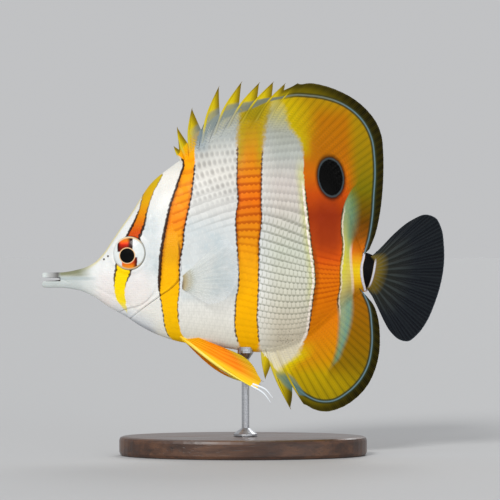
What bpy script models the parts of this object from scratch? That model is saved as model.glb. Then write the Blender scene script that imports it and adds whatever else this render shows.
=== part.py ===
"""A copperband butterflyfish, modelled life size and held still on a plain display stand.

The snout points along -X, the back along +Z and the left flank along -Y. Everything is in metres.
Outlines are lists of (x, z) in millimetres: x from the middle of the fish's length, z from the line
of the snout, which AXIS_HEIGHT lifts above the floor. Positions on the floor are x = y = z = 0.
"""

import math

import bmesh
import bpy
import numpy as np
from mathutils import Matrix, Vector

# Driving sizes, in metres
FISH_LENGTH = 0.1692
AXIS_HEIGHT = 0.0737
GAP = 0.0003

# One outline unit: a millimetre on a fish of this length
OUTLINE_LENGTH = 169.2
UNIT = FISH_LENGTH / OUTLINE_LENGTH

# Body, seen from the side: the line of the back and of the belly
BACK = [
    (-81, 2.9), (-77, 3.1), (-68.5, 4.5), (-63, 6.8), (-58.8, 10.8), (-55, 16.4), (-51.2, 22.0),
    (-46.2, 29.1), (-42.6, 35.0), (-39.1, 40.0), (-34.6, 44.2), (-30.2, 47.5), (-26, 50.6),
    (-18, 57.0), (-9.7, 62.5), (0.8, 66.6), (10, 67.2), (21.8, 63.8), (30.2, 56.7), (37.8, 45.4),
    (43.7, 31.5), (47.9, 18.1), (50.4, 11.8), (53, 11.0), (58, 12.0),
]
BELLY = [
    (-81, -3.2), (-77, -3.3), (-69.7, -4.2), (-63, -6.8), (-56.3, -11.4), (-48.7, -15.7),
    (-43.8, -19.0), (-36.5, -22.8), (-30.9, -24.9), (-24.8, -26.4), (-18.5, -27.2), (-9.2, -28.4),
    (-1.3, -29.6), (6.7, -30.4), (12, -30.4), (19.7, -28.4), (28.1, -23.6), (36.5, -16.8),
    (43.7, -10.3), (47.9, -6.8), (50.4, -5.2), (53, -5.0), (58, -6.0),
]
# Body, seen from above: the height of its widest line, and its half width there
WIDEST = [(-81, 0), (-63, 1.0), (-55, 4.0), (-47.5, 8.0), (-36, 10), (-20, 9), (20, 8), (45, 5), (58, 3)]
HALF_WIDTH = [
    (-81, 1.25), (-70, 1.7), (-63, 2.8), (-58, 4.2), (-52, 6.0), (-46, 7.4), (-38, 8.9), (-28, 10.2),
    (-15, 11.0), (0, 11.0), (12, 10.0), (24, 8.1), (34, 6.0), (42, 4.2), (48, 3.2), (53, 2.4), (58, 1.9),
]
# How sharp a section's edge is: 0.5 is an ellipse, 1 is a lens
BACK_EDGE = [(-81, 0.5), (-60, 0.52), (-40, 0.6), (-25, 0.7), (0, 0.82), (45, 0.86), (58, 0.6)]
BELLY_EDGE = [(-81, 0.5), (-50, 0.58), (0, 0.62), (18, 0.78), (45, 0.82), (58, 0.6)]
BODY_START, BODY_END = -81.0, 58.0
BODY_RINGS, BODY_SIDES = 56, 28

# Where the body is parted
GILL_LINE = [
    (-36.5, 54), (-33.6, 45.4), (-30.7, 35.3), (-28.1, 23.1), (-26.3, 12.6), (-25.8, 5.0),
    (-26.9, 0.0), (-30.0, -3.4), (-34.9, -6.7), (-40.7, -10.9), (-47.0, -16.0), (-52, -21),
]
GILL_LINE_STEPS = 30
GILL_COVER_STEP, GILL_COVER_FROM, GILL_COVER_TOP = 0.5, -50, 28
MOUTH_CORNER = -76.9
PEDUNCLE_START = 46.0
TAIL_PLANE = [(56.1, 14.0), (52.2, -8.0)]

# Jaws: tip first, upper line and lower line of each
JAW_TIP = -84.6
UPPER_JAW = ([(-84.6, 1.9), (-84.1, 2.9), (-82.5, 3.1), (-76, 3.0)],
             [(-84.6, 1.9), (-84.1, 1.1), (-82.5, 0.9), (-76, 1.1)])
LOWER_JAW = ([(-84.6, -1.9), (-84.1, -0.8), (-82.5, -0.5), (-76, -0.3)],
             [(-84.6, -1.9), (-84.1, -3.0), (-82.5, -3.3), (-76, -3.2)])
JAW_HALF_WIDTH = [(-84.6, 0.0), (-84.1, 0.95), (-82.5, 1.2), (-76, 1.25)]

# Eye
EYE_CENTRE = (-47.5, 11.2)
EYE_RADIUS, EYE_BULGE, EYE_DEPTH, EYE_SINK = 6.9, 1.7, 3.4, 0.1
NOSTRILS = [(-58.3, 8.6), (-56.6, 9.9)]
NOSTRIL_RADIUS = 0.45
MOUTH_SLOT = [(-78, 0.1), (-75.6, 0.3), (-75.6, 0.7), (-78, 0.9)]
MOUTH_SLOT_WIDTH = 1.6

# Spiny part of the dorsal fin: root, tip, and the notch behind each tip
DORSAL_SPINES = [
    ((-25.0, 49.0), (-29.1, 56.2), (-26.9, 54.6)),
    ((-23.6, 50.5), (-27.7, 64.2), (-22.9, 56.8)),
    ((-22.0, 51.8), (-21.4, 72.2), (-17.6, 62.8)),
    ((-17.4, 55.0), (-10.0, 81.4), (-9.8, 68.3)),
    ((-12.8, 58.6), (-0.4, 83.3), (-1.8, 72.7)),
    ((-7.6, 61.2), (7.1, 83.0), (5.7, 75.0)),
    ((-2.0, 63.0), (13.0, 83.3), (12.0, 77.1)),
    ((4.0, 63.8), (17.9, 82.6), (17.1, 79.6)),
    ((9.6, 63.8), (22.9, 82.6), (23.4, 82.3)),
]
DORSAL_SPINE_RADIUS = 0.75
DORSAL_SPINE_BOW = 0.09
DORSAL_SPLIT = [(23.4, 82.3), (12.6, 66.0), (11.2, 63.4)]

# Soft fins: the buried root line, the outer margin, and the number of rays
DORSAL_ROOT = [(11.9, 63.2), (20, 60.8), (28, 54.0), (35, 43.5), (41, 30.5), (45.5, 17.0), (48.6, 8.5)]
DORSAL_MARGIN = [
    (24.1, 82.3), (27.8, 82.7), (34, 81.7), (40.7, 79.3), (46.9, 75.9), (52.5, 71.0), (56.2, 66.0),
    (58.3, 60.5), (59.0, 53.8), (59.1, 45.1), (58.6, 35.8), (57.4, 26.6), (55.5, 18.6), (53.2, 13.0),
]
DORSAL_RAYS = 29
ANAL_ROOT = [(15.6, -27.3), (21, -25.6), (28, -21.2), (35, -15.2), (42, -8.8), (48.6, -3.2)]
ANAL_MARGIN = [
    (26.6, -52.8), (29.7, -54.5), (34.6, -55.6), (41.4, -53.8), (47.5, -49.9), (52.5, -44.3),
    (55.5, -38.1), (57.2, -31.4), (57.6, -23.4), (56.8, -16.0), (54.9, -10.6), (52.0, -7.0),
]
ANAL_RAYS = 20
ANAL_SPINES = [
    ((8.0, -27.5), (9.4, -41.8), (11.9, -34.5)),
    ((9.4, -27.6), (20.1, -54.5), (20.7, -44.9)),
    ((13.4, -27.6), (25.6, -52.4), (25.9, -52.0)),
]
ANAL_SPINE_RADIUS = 0.85
ANAL_SPINE_BOW = -0.03
ANAL_SPLIT = [(25.9, -52.0), (16.4, -31.0), (14.8, -27.6)]
CAUDAL_MARGIN = [
    (57.2, 12.6), (63.8, 19.7), (70.9, 25.2), (77.1, 27.5), (81.1, 26.0), (83.4, 21.8), (84.5, 14.7),
    (84.6, 7.6), (83.2, -1.7), (80.6, -10.1), (77.3, -17.6), (73.3, -23.1), (69.3, -26.0),
    (65.5, -25.2), (62.2, -22.3), (58.9, -16.8), (56.4, -10.9), (54.2, -6.4),
]
CAUDAL_RAYS = 17
CAUDAL_ROOT_THICKNESS = 3.4

# Fin stock: thickness at the root, of the membrane at the margin, and what a ray adds
ROOT_THICKNESS, MARGIN_THICKNESS, RAY_HEIGHT = 1.1, 0.55, 0.4

# Paired fins: root, margin, rays and how far they stand out from the flank
PECTORAL_ROOT = [(-25.6, 1.2), (-25.0, -3.8)]
PECTORAL_MARGIN = [
    (-9.0, 17.2), (-5.6, 16.0), (-2.4, 10.8), (-1.6, 4.0), (-3.6, -3.2), (-8.0, -8.4), (-14.6, -9.8),
    (-17.6, -8.4),
]
PECTORAL_RAYS, PECTORAL_SPLAY, PECTORAL_SINK, PECTORAL_CURVE = 14, 0.45, 0.9, 0.005
PELVIC_ROOT = [(-25.8, -25.2), (-18.6, -24.2)]
PELVIC_MARGIN = [
    (6.1, -46.0), (6.6, -44.0), (7.6, -42.4), (6.2, -39.4), (4.8, -36.6), (2.9, -34.2), (0, -31.9),
    (-3.6, -30.1),
]
PELVIC_RAYS, PELVIC_ROOT_OUT = 6, 2.1
PELVIC_SPINE = [(-26.2, -23.6), (-9.4, -36.6), (6.1, -46.0)]
PELVIC_FILAMENTS = [[(3.4, -44.2), (8.9, -47.6), (11.5, -51.1)], [(4.0, -43.4), (9.6, -45.9), (12.4, -49.2)]]
# Pose of each: degrees that it hangs below the outline, how far it stands out, how far its tip curls up
PELVIC_POSE = {"left": (0.0, 0.14, 0.0), "right": (8.0, 0.28, 6.0)}
PELVIC_LENGTH = 37.0

# Display stand, in metres
BASE_LENGTH, BASE_WIDTH, BASE_HEIGHT, BASE_BEVEL = 0.104, 0.060, 0.008, 0.0015
ROD_X, ROD_RADIUS, FOOT_RADIUS, FOOT_HEIGHT = 0.0010, 0.0016, 0.0050, 0.0016
CUP_RADIUS, CUP_HEIGHT, CUP_TOP = 0.0034, 0.0050, AXIS_HEIGHT - 0.0282

FISH = "copperband_butterflyfish"
CUTTERS = "cutters"


def clear_scene():
    for obj in list(bpy.data.objects):
        bpy.data.objects.remove(obj, do_unlink=True)
    for name in (FISH, CUTTERS):
        collection = bpy.data.collections.new(name)
        bpy.context.scene.collection.children.link(collection)


def finish(name, colour, roughness, metallic=0.0):
    """A plain material with the piece's own colour."""
    made = bpy.data.materials.new(name)
    made.use_nodes = True
    shader = made.node_tree.nodes["Principled BSDF"]
    shader.inputs["Base Color"].default_value = (*colour, 1.0)
    shader.inputs["Roughness"].default_value = roughness
    shader.inputs["Metallic"].default_value = metallic
    return made


def place(name, mesh, made=None, cutter=False):
    """A new object of this mesh, in the fish's collection or the cutters'."""
    obj = bpy.data.objects.new(name, mesh)
    bpy.data.collections[CUTTERS if cutter else FISH].objects.link(obj)
    if cutter:
        obj.hide_render = True
        obj.display_type = "WIRE"
    if made:
        obj.data.materials.clear()
        obj.data.materials.append(made)
    return obj


def smooth_through(points, at):
    """The smooth curve through (place, value) points, which never overshoots them, read at `at`."""
    places, values = (np.array(column, float) for column in zip(*points))
    steps = np.diff(places)
    slopes = np.diff(values) / steps
    tangents = np.concatenate([slopes[:1], np.zeros(len(slopes) - 1), slopes[-1:]])
    before, after = slopes[:-1], slopes[1:]
    rising = before * after > 0
    weight_a, weight_b = 2 * steps[1:] + steps[:-1], steps[1:] + 2 * steps[:-1]
    safe_before, safe_after = np.where(rising, before, 1), np.where(rising, after, 1)
    mean = (weight_a + weight_b) / (weight_a / safe_before + weight_b / safe_after)
    tangents[1:-1] = np.where(rising, mean, 0)
    at = np.clip(at, places[0], places[-1])
    k = np.clip(np.searchsorted(places, at, side="right") - 1, 0, len(steps) - 1)
    t, step = (at - places[k]) / steps[k], steps[k]
    return (
        (1 + 2 * t) * (1 - t) ** 2 * values[k]
        + t * (1 - t) ** 2 * step * tangents[k]
        + t * t * (3 - 2 * t) * values[k + 1]
        + t * t * (t - 1) * step * tangents[k + 1]
    )


def smooth_line(points, count):
    """`count` points spread evenly along the smooth line through these ones."""
    points = np.array(points, float)
    run = np.concatenate([[0], np.cumsum(np.linalg.norm(np.diff(points, axis=0), axis=1))])
    fine = np.linspace(0, run[-1], 40 * len(points))
    dense = []
    for axis in range(points.shape[1]):
        gradient = np.gradient(points[:, axis], run)
        k = np.clip(np.searchsorted(run, fine, side="right") - 1, 0, len(run) - 2)
        step = run[k + 1] - run[k]
        t = (fine - run[k]) / step
        dense.append(
            (1 + 2 * t) * (1 - t) ** 2 * points[k, axis] + t * (1 - t) ** 2 * step * gradient[k]
            + t * t * (3 - 2 * t) * points[k + 1, axis] + t * t * (t - 1) * step * gradient[k + 1]
        )
    dense = np.stack(dense, axis=1)
    length = np.concatenate([[0], np.cumsum(np.linalg.norm(np.diff(dense, axis=0), axis=1))])
    wanted = np.linspace(0, length[-1], count)
    return np.stack([np.interp(wanted, length, dense[:, axis]) for axis in range(points.shape[1])], axis=1)


def to_world(x, y, z):
    """A point given in outline units."""
    return Vector((x * UNIT, y * UNIT, z * UNIT + AXIS_HEIGHT))


def flank(x, z):
    """Half width of the body, in outline units, at a point of its side view."""
    top, bottom, middle = (float(smooth_through(line, x)) for line in (BACK, BELLY, WIDEST))
    rise = (z - middle) / (top - middle if z > middle else middle - bottom)
    edge = float(smooth_through(BACK_EDGE if z > middle else BELLY_EDGE, x))
    return float(smooth_through(HALF_WIDTH, x)) * max(0.0, 1 - rise * rise) ** edge


def gill_swell(x, z):
    """How far the gill cover stands out from the trunk at its rear edge."""
    back = min(1.0, max(0.0, (x - GILL_COVER_FROM) / 14))
    down = min(1.0, max(0.0, (GILL_COVER_TOP - z) / 12))
    return GILL_COVER_STEP * back * back * (3 - 2 * back) * down * down * (3 - 2 * down)


def body_section(x, around, swell):
    """A point of the body's skin at station x, `around` radians up from the right flank."""
    top, bottom, middle = (float(smooth_through(line, x)) for line in (BACK, BELLY, WIDEST))
    rise = math.sin(around)
    edge = float(smooth_through(BACK_EDGE if rise > 0 else BELLY_EDGE, x))
    z = middle + rise * (top - middle if rise > 0 else middle - bottom)
    half = float(smooth_through(HALF_WIDTH, x)) + (swell(x, z) if swell else 0.0)
    return half * math.copysign(abs(math.cos(around)) ** (2 * edge), math.cos(around)), z


def jaw_section(lines, x, around):
    """A point of a jaw's surface at station x."""
    top, bottom = (float(smooth_through(line, x)) for line in lines)
    half = float(smooth_through(JAW_HALF_WIDTH, x))
    return half * math.cos(around), (top + bottom) / 2 + math.sin(around) * (top - bottom) / 2


def loft(name, stations, sides, section, made=None, cutter=False):
    """A closed body: a sphere whose rings are moved to the stations and take the section there."""
    rings = len(stations) - 1
    bm = bmesh.new()
    bmesh.ops.create_uvsphere(bm, u_segments=sides, v_segments=rings, radius=1.0)
    for vertex in bm.verts:
        polar = math.acos(max(-1.0, min(1.0, vertex.co.z)))
        x = stations[round(polar / math.pi * rings)]
        if abs(vertex.co.z) > 1 - 1e-6:
            y, z = 0.0, section(x, 0.0)[1]
        else:
            y, z = section(x, math.atan2(vertex.co.y, vertex.co.x))
        vertex.co = to_world(x, y, z)
    bm.normal_update()
    bmesh.ops.recalc_face_normals(bm, faces=bm.faces)
    mesh = bpy.data.meshes.new(name)
    bm.to_mesh(mesh)
    bm.free()
    return place(name, mesh, made, cutter)


def whole_body(name, swell=None, made=None, cutter=False):
    stations = np.linspace(BODY_START, BODY_END, BODY_RINGS + 1)
    return loft(name, stations, BODY_SIDES, lambda x, around: body_section(x, around, swell), made, cutter)


def apply_modifiers(obj):
    """Makes the evaluated mesh the object's own."""
    graph = bpy.context.evaluated_depsgraph_get()
    made = bpy.data.meshes.new_from_object(obj.evaluated_get(graph), depsgraph=graph)
    obj.modifiers.clear()
    obj.data = made


def solid_from_curve(curve_obj, name, cutter=False):
    """The closed mesh of a curve object, which it takes the place of."""
    graph = bpy.context.evaluated_depsgraph_get()
    mesh = bpy.data.meshes.new_from_object(curve_obj.evaluated_get(graph), depsgraph=graph)
    mesh.transform(curve_obj.matrix_world)
    bpy.data.objects.remove(curve_obj, do_unlink=True)
    bm = bmesh.new()
    bm.from_mesh(mesh)
    bmesh.ops.remove_doubles(bm, verts=bm.verts, dist=1e-6)
    bm.normal_update()
    bmesh.ops.recalc_face_normals(bm, faces=bm.faces)
    bm.to_mesh(mesh)
    bm.free()
    mesh.name = name
    return place(name, mesh, cutter=cutter)


def slab(name, outline, thickness, cutter=False):
    """A flat plate in the plane y = 0, filled from an outline in outline units."""
    curve = bpy.data.curves.new(name, "CURVE")
    curve.dimensions = "2D"
    curve.fill_mode = "BOTH"
    curve.extrude = thickness * UNIT / 2
    spline = curve.splines.new("POLY")
    spline.points.add(len(outline) - 1)
    for point, (x, z) in zip(spline.points, outline):
        point.co = (x * UNIT, z * UNIT, 0, 1)
    spline.use_cyclic_u = True
    obj = bpy.data.objects.new(name + "_curve", curve)
    bpy.data.collections[FISH].objects.link(obj)
    obj.rotation_euler = (math.pi / 2, 0, 0)
    obj.location = (0, 0, AXIS_HEIGHT)
    bpy.context.view_layer.update()
    return solid_from_curve(obj, name, cutter)


def spine(name, path, radius, tip_radius=0.12, steps=6):
    """A tapered spine along a bent path of (x, y, z) points in outline units."""
    curve = bpy.data.curves.new(name, "CURVE")
    curve.dimensions = "3D"
    curve.bevel_depth = radius * UNIT
    curve.bevel_resolution = 1
    curve.use_fill_caps = True
    line = smooth_line(path, steps)
    spline = curve.splines.new("POLY")
    spline.points.add(steps - 1)
    for k, (point, (x, y, z)) in enumerate(zip(spline.points, line)):
        point.co = (*to_world(x, y, z), 1)
        share = k / (steps - 1)
        point.radius = 1 + (tip_radius / radius - 1) * share**1.4
    obj = bpy.data.objects.new(name + "_curve", curve)
    bpy.data.collections[FISH].objects.link(obj)
    bpy.context.view_layer.update()
    return solid_from_curve(obj, name)


def bowed(root, tip, bow):
    """Three points from root to tip, the middle one pushed aside by a share of the length."""
    root, tip = np.array(root, float), np.array(tip, float)
    run = tip - root
    middle = (root + tip) / 2 + bow * np.array([-run[1], run[0]])
    return [(x, 0.0, z) for x, z in (root, middle, tip)]


def keep_largest(obj):
    """Drops every loose scrap but the largest closed surface."""
    bm = bmesh.new()
    bm.from_mesh(obj.data)
    left, islands = set(bm.verts), []
    while left:
        stack, island = [next(iter(left))], set()
        while stack:
            vertex = stack.pop()
            if vertex in island:
                continue
            island.add(vertex)
            stack.extend(edge.other_vert(vertex) for edge in vertex.link_edges)
        left -= island
        islands.append(island)
    islands.sort(key=lambda island: sum(face.calc_area() for v in island for face in v.link_faces))
    scraps = [vertex for island in islands[:-1] for vertex in island]
    bmesh.ops.delete(bm, geom=scraps, context="VERTS")
    bm.to_mesh(obj.data)
    bm.free()


def carve(obj, cutter, operation="DIFFERENCE", solver="EXACT"):
    modifier = obj.modifiers.new(operation.lower(), "BOOLEAN")
    modifier.operation = operation
    modifier.solver = solver
    modifier.object = cutter
    apply_modifiers(obj)


def fuse(obj, pieces):
    """Joins the closed pieces to the object in one union."""
    group = bpy.data.collections.new(obj.name + "_pieces")
    for piece in pieces:
        group.objects.link(piece)
    modifier = obj.modifiers.new("union", "BOOLEAN")
    modifier.operation = "UNION"
    modifier.operand_type = "COLLECTION"
    modifier.solver = "MANIFOLD"
    modifier.collection = group
    apply_modifiers(obj)
    for piece in pieces:
        bpy.data.objects.remove(piece, do_unlink=True)
    bpy.data.collections.remove(group)


def fin_sheet(name, root, margin, rays, rows, pose, thickness, made):
    """A rayed fin: a grid from the root line to the margin, thick at each ray and thin between.

    `pose` takes a grid point's x and z and its reach from the root, and gives its place.
    """
    columns = 2 * rays + 1
    starts, ends = smooth_line(root, columns), smooth_line(margin, columns)
    bm = bmesh.new()
    bmesh.ops.create_grid(bm, x_segments=columns - 1, y_segments=rows - 1, size=0.5)
    weights = {}
    for vertex in bm.verts:
        column = round((vertex.co.x + 0.5) * (columns - 1))
        out = round((vertex.co.y + 0.5) * (rows - 1)) / (rows - 1)
        x, z = starts[column] * (1 - out) + ends[column] * out
        reach = out * np.linalg.norm(ends[column] - starts[column])
        weights[vertex.index] = thickness(column, column / (columns - 1), out)
        vertex.co = to_world(*pose(x, z, reach))
    bmesh.ops.triangulate(bm, faces=bm.faces, quad_method="SHORT_EDGE")
    mesh = bpy.data.meshes.new(name)
    bm.to_mesh(mesh)
    bm.free()
    obj = place(name, mesh, made)
    group = obj.vertex_groups.new(name="thickness")
    most = max(weights.values())
    for index, weight in weights.items():
        group.add([index], weight / most, "REPLACE")
    solid = obj.modifiers.new("thickness", "SOLIDIFY")
    solid.thickness = most * UNIT
    solid.offset = 0
    solid.vertex_group = group.name
    apply_modifiers(obj)
    return obj


def rayed(column, share, out):
    """Thickness of a soft fin: fleshy at the root, with a ridge at every second column."""
    membrane = MARGIN_THICKNESS + (ROOT_THICKNESS - MARGIN_THICKNESS) * (1 - out) ** 1.5
    return membrane + (column % 2) * RAY_HEIGHT * (1 - 0.8 * out)


def flat_fin(x, z, reach):
    return x, 0.0, z


def make_soft_fins(made):
    """Soft dorsal and anal fin, in the middle plane."""
    dorsal = fin_sheet("dorsal_fin_soft", DORSAL_ROOT, DORSAL_MARGIN, DORSAL_RAYS, 6, flat_fin, rayed, made)
    anal = fin_sheet("anal_fin_soft", ANAL_ROOT, ANAL_MARGIN, ANAL_RAYS, 6, flat_fin, rayed, made)
    return [dorsal, anal]


def make_spiny_fin(name, spines, split, radius, bow, made):
    """A membrane notched behind each spine, with the spines run through it."""
    below = np.sign(spines[0][0][1] - spines[0][1][1]) * 1.5
    roots = [(root[0], root[1] + below) for root, _, _ in spines]
    outline = [roots[0]]
    for root, tip, notch in spines[:-1]:
        shy = np.array(tip) * 0.93 + np.array(root) * 0.07
        outline += [tuple(shy), notch]
    outline += list(split) + roots[:0:-1]
    fin = slab(name, outline, MARGIN_THICKNESS)
    fin.data.materials.append(made)
    rods = [
        spine(f"{name}_spine_{k}", bowed(root, tip, bow), radius)
        for k, (root, tip, _) in enumerate(spines)
    ]
    fuse(fin, rods)
    return fin


def make_caudal_fin(made):
    """Tail fin, which meets the flat end of the tail base."""
    top, bottom = (np.array(point, float) for point in TAIL_PLANE)
    along = (bottom - top) / np.linalg.norm(bottom - top)
    outward = np.array([-along[1], along[0]])
    root_top = np.array([55.5, 10.9]) + outward * GAP / UNIT
    root_bottom = np.array([52.9, -4.4]) + outward * GAP / UNIT

    def thickness(column, share, out):
        fleshy = (CAUDAL_ROOT_THICKNESS - MARGIN_THICKNESS) * math.sin(math.pi * share) ** 0.5
        fleshy *= max(0.0, 1 - out * 4) ** 1.5
        return MARGIN_THICKNESS + fleshy + (column % 2) * RAY_HEIGHT * (1 - 0.8 * out)

    return fin_sheet("caudal_fin", [root_top, root_bottom], CAUDAL_MARGIN, CAUDAL_RAYS, 7, flat_fin,
                     thickness, made)


def make_pectoral_fin(side, sign, made):
    """Pectoral fin, which stands out from the flank behind the gill cover."""
    root = flank(*PECTORAL_ROOT[0]) - PECTORAL_SINK

    def pose(x, z, reach):
        return x, sign * (root + PECTORAL_SPLAY * reach - PECTORAL_CURVE * reach * reach), z

    return fin_sheet("pectoral_fin_" + side, PECTORAL_ROOT, PECTORAL_MARGIN, PECTORAL_RAYS, 6, pose,
                     rayed, made)


def make_pelvic_fin(side, sign, made):
    """Pelvic fin with its leading spine and two filaments; the far one hangs lower and curls."""
    drop, splay, curl = PELVIC_POSE[side]
    drop = math.radians(drop)
    hinge_x, hinge_z = PELVIC_ROOT[0]

    def pose(x, z, reach):
        x, z = x - hinge_x, z - hinge_z
        share = math.hypot(x, z) / PELVIC_LENGTH
        out = PELVIC_ROOT_OUT + splay * PELVIC_LENGTH * share
        return (hinge_x + x * math.cos(drop) + z * math.sin(drop), sign * out,
                hinge_z + z * math.cos(drop) - x * math.sin(drop) + curl * share**3)

    fin = fin_sheet("pelvic_fin_" + side, PELVIC_ROOT, PELVIC_MARGIN, PELVIC_RAYS, 6, pose, rayed, made)
    rods = []
    for k, (line, radius) in enumerate(zip([PELVIC_SPINE, *PELVIC_FILAMENTS], (0.75, 0.5, 0.5))):
        path = [pose(x, z, 0) for x, z in smooth_line(line, 7)]
        rods.append(spine(f"pelvic_{side}_rod_{k}", path, radius, 0.2, 7))
    fuse(fin, rods)
    return fin


def turned_eye(name, side, grow=0.0, made=None, cutter=False):
    """An eye: a ball, shallow outside and deeper inside, set square to the flank."""
    x, z = EYE_CENTRE
    step = 3.0
    slope_x = (flank(x + step, z) - flank(x - step, z)) / (2 * step)
    slope_z = (flank(x, z + step) - flank(x, z - step)) / (2 * step)
    outward = Vector((-slope_x, 1.0, -slope_z)).normalized()
    bm = bmesh.new()
    bmesh.ops.create_uvsphere(bm, u_segments=24, v_segments=12, radius=1.0)
    for vertex in bm.verts:
        reach = (EYE_BULGE if vertex.co.z > 0 else EYE_DEPTH) + grow
        vertex.co.x *= (EYE_RADIUS + grow) * UNIT
        vertex.co.y *= (EYE_RADIUS + grow) * UNIT
        vertex.co.z *= reach * UNIT
    turn = Vector((0, 0, 1)).rotation_difference(outward).to_matrix().to_4x4()
    bm.transform(Matrix.Translation(to_world(x, flank(x, z) - EYE_SINK, z)) @ turn)
    if side < 0:
        bm.transform(Matrix.Scale(-1, 4, (0, 1, 0)))
        bmesh.ops.reverse_faces(bm, faces=bm.faces)
    mesh = bpy.data.meshes.new(name)
    bm.to_mesh(mesh)
    bm.free()
    return place(name, mesh, made, cutter)


def ball(name, centre, radius):
    bm = bmesh.new()
    bmesh.ops.create_uvsphere(bm, u_segments=10, v_segments=6, radius=radius * UNIT)
    bm.transform(Matrix.Translation(centre))
    mesh = bpy.data.meshes.new(name)
    bm.to_mesh(mesh)
    bm.free()
    return place(name, mesh, cutter=True)


def region_ahead_of_gills(name, shift):
    """Cutter for all that lies ahead of the gill cover's edge, moved back by `shift`."""
    line = smooth_line(GILL_LINE, GILL_LINE_STEPS)
    tangent = np.gradient(line, axis=0)
    tangent /= np.linalg.norm(tangent, axis=1)[:, None]
    line = line + shift * np.stack([-tangent[:, 1], tangent[:, 0]], axis=1)
    outline = [(-95, -40), (-95, 60), *map(tuple, line)]
    return slab(name, outline, 60, cutter=True)


def block(name, x_from, x_to, cutter=True):
    """Cutter slab across the body between two stations."""
    return slab(name, [(x_from, -80), (x_to, -80), (x_to, 100), (x_from, 100)], 60, cutter)


def remove_cutter(obj):
    bpy.data.objects.remove(obj, do_unlink=True)


def make_flesh(made):
    """Head, trunk and tail base, parted from one body by thin cuts."""
    gap = GAP / UNIT
    head = whole_body("head", gill_swell, made)
    ahead = region_ahead_of_gills("ahead_of_gills", 0.0)
    carve(head, ahead, "INTERSECT")
    snout_end = block("snout_end", -100, MOUTH_CORNER)
    carve(head, snout_end)
    for side in (1, -1):
        socket = turned_eye("socket", side, gap, cutter=True)
        carve(head, socket)
        remove_cutter(socket)
        for x, z in NOSTRILS:
            pit = ball("nostril", to_world(x, side * flank(x, z), z), NOSTRIL_RADIUS)
            carve(head, pit)
            remove_cutter(pit)
    slot = slab("mouth_slot", MOUTH_SLOT, MOUTH_SLOT_WIDTH, cutter=True)
    carve(head, slot)
    keep_largest(head)

    trunk = whole_body("trunk", made=made)
    ahead_wide = region_ahead_of_gills("ahead_of_gills_wide", gap)
    carve(trunk, ahead_wide)
    behind = block("behind_trunk", PEDUNCLE_START, 100)
    carve(trunk, behind)
    keep_largest(trunk)

    tail_base = whole_body("tail_base", made=made)
    (top_x, top_z), (bottom_x, bottom_z) = TAIL_PLANE
    start = PEDUNCLE_START + gap
    middle = slab("tail_region", [(start, bottom_z - 20), (start, top_z + 20),
                                  (top_x + (top_x - bottom_x) * 20 / (top_z - bottom_z), top_z + 20),
                                  (bottom_x - (top_x - bottom_x) * 20 / (top_z - bottom_z), bottom_z - 20)],
                  60, cutter=True)
    carve(tail_base, middle, "INTERSECT")
    keep_largest(tail_base)
    for cutter in (ahead, snout_end, slot, ahead_wide, behind, middle):
        remove_cutter(cutter)
    return head, trunk, tail_base


def make_jaws(made):
    """Upper and lower jaw, parted at the tip of the snout."""
    turns = np.linspace(0, math.pi / 2, 12)
    end = MOUTH_CORNER - GAP / UNIT
    stations = JAW_TIP + (MOUTH_CORNER + 2 - JAW_TIP) * (1 - np.cos(turns))
    behind = block("behind_jaws", end, 100)
    for name, lines in (("jaw_upper", UPPER_JAW), ("jaw_lower", LOWER_JAW)):
        jaw = loft(name, stations, 14, lambda x, around, pair=lines: jaw_section(pair, x, around), made)
        carve(jaw, behind)
    remove_cutter(behind)


def make_stand(wood, steel, grown_body):
    """Oval base and one short turned rod, whose cup fits under the belly."""
    bm = bmesh.new()
    bmesh.ops.create_cone(bm, cap_ends=True, segments=64, radius1=0.5, radius2=0.5, depth=BASE_HEIGHT)
    for vertex in bm.verts:
        vertex.co.x *= BASE_LENGTH
        vertex.co.y *= BASE_WIDTH
        vertex.co.z += BASE_HEIGHT / 2
    mesh = bpy.data.meshes.new("stand_base")
    bm.to_mesh(mesh)
    bm.free()
    base = place("stand_base", mesh, wood)
    bevel = base.modifiers.new("edge", "BEVEL")
    bevel.width = BASE_BEVEL
    bevel.segments = 2
    bevel.limit_method = "ANGLE"

    foot = BASE_HEIGHT + GAP
    profile = [(0, foot), (FOOT_RADIUS, foot), (FOOT_RADIUS, foot + FOOT_HEIGHT / 2),
               (ROD_RADIUS, foot + FOOT_HEIGHT * 2), (ROD_RADIUS, CUP_TOP - CUP_HEIGHT),
               (CUP_RADIUS, CUP_TOP - CUP_HEIGHT / 2), (CUP_RADIUS, CUP_TOP), (0, CUP_TOP)]
    mesh = bpy.data.meshes.new("stand_rod")
    mesh.from_pydata([(r, 0, z) for r, z in profile], [(k, k + 1) for k in range(len(profile) - 1)], [])
    rod = place("stand_rod", mesh, steel)
    rod.location = (ROD_X, 0, 0)
    turn = rod.modifiers.new("turn", "SCREW")
    turn.steps = turn.render_steps = 20
    turn.use_merge_vertices = True
    turn.merge_threshold = 0.00001
    turn.use_normal_calculate = True
    bpy.context.view_layer.update()
    apply_modifiers(rod)
    carve(rod, grown_body)
    keep_largest(rod)


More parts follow.
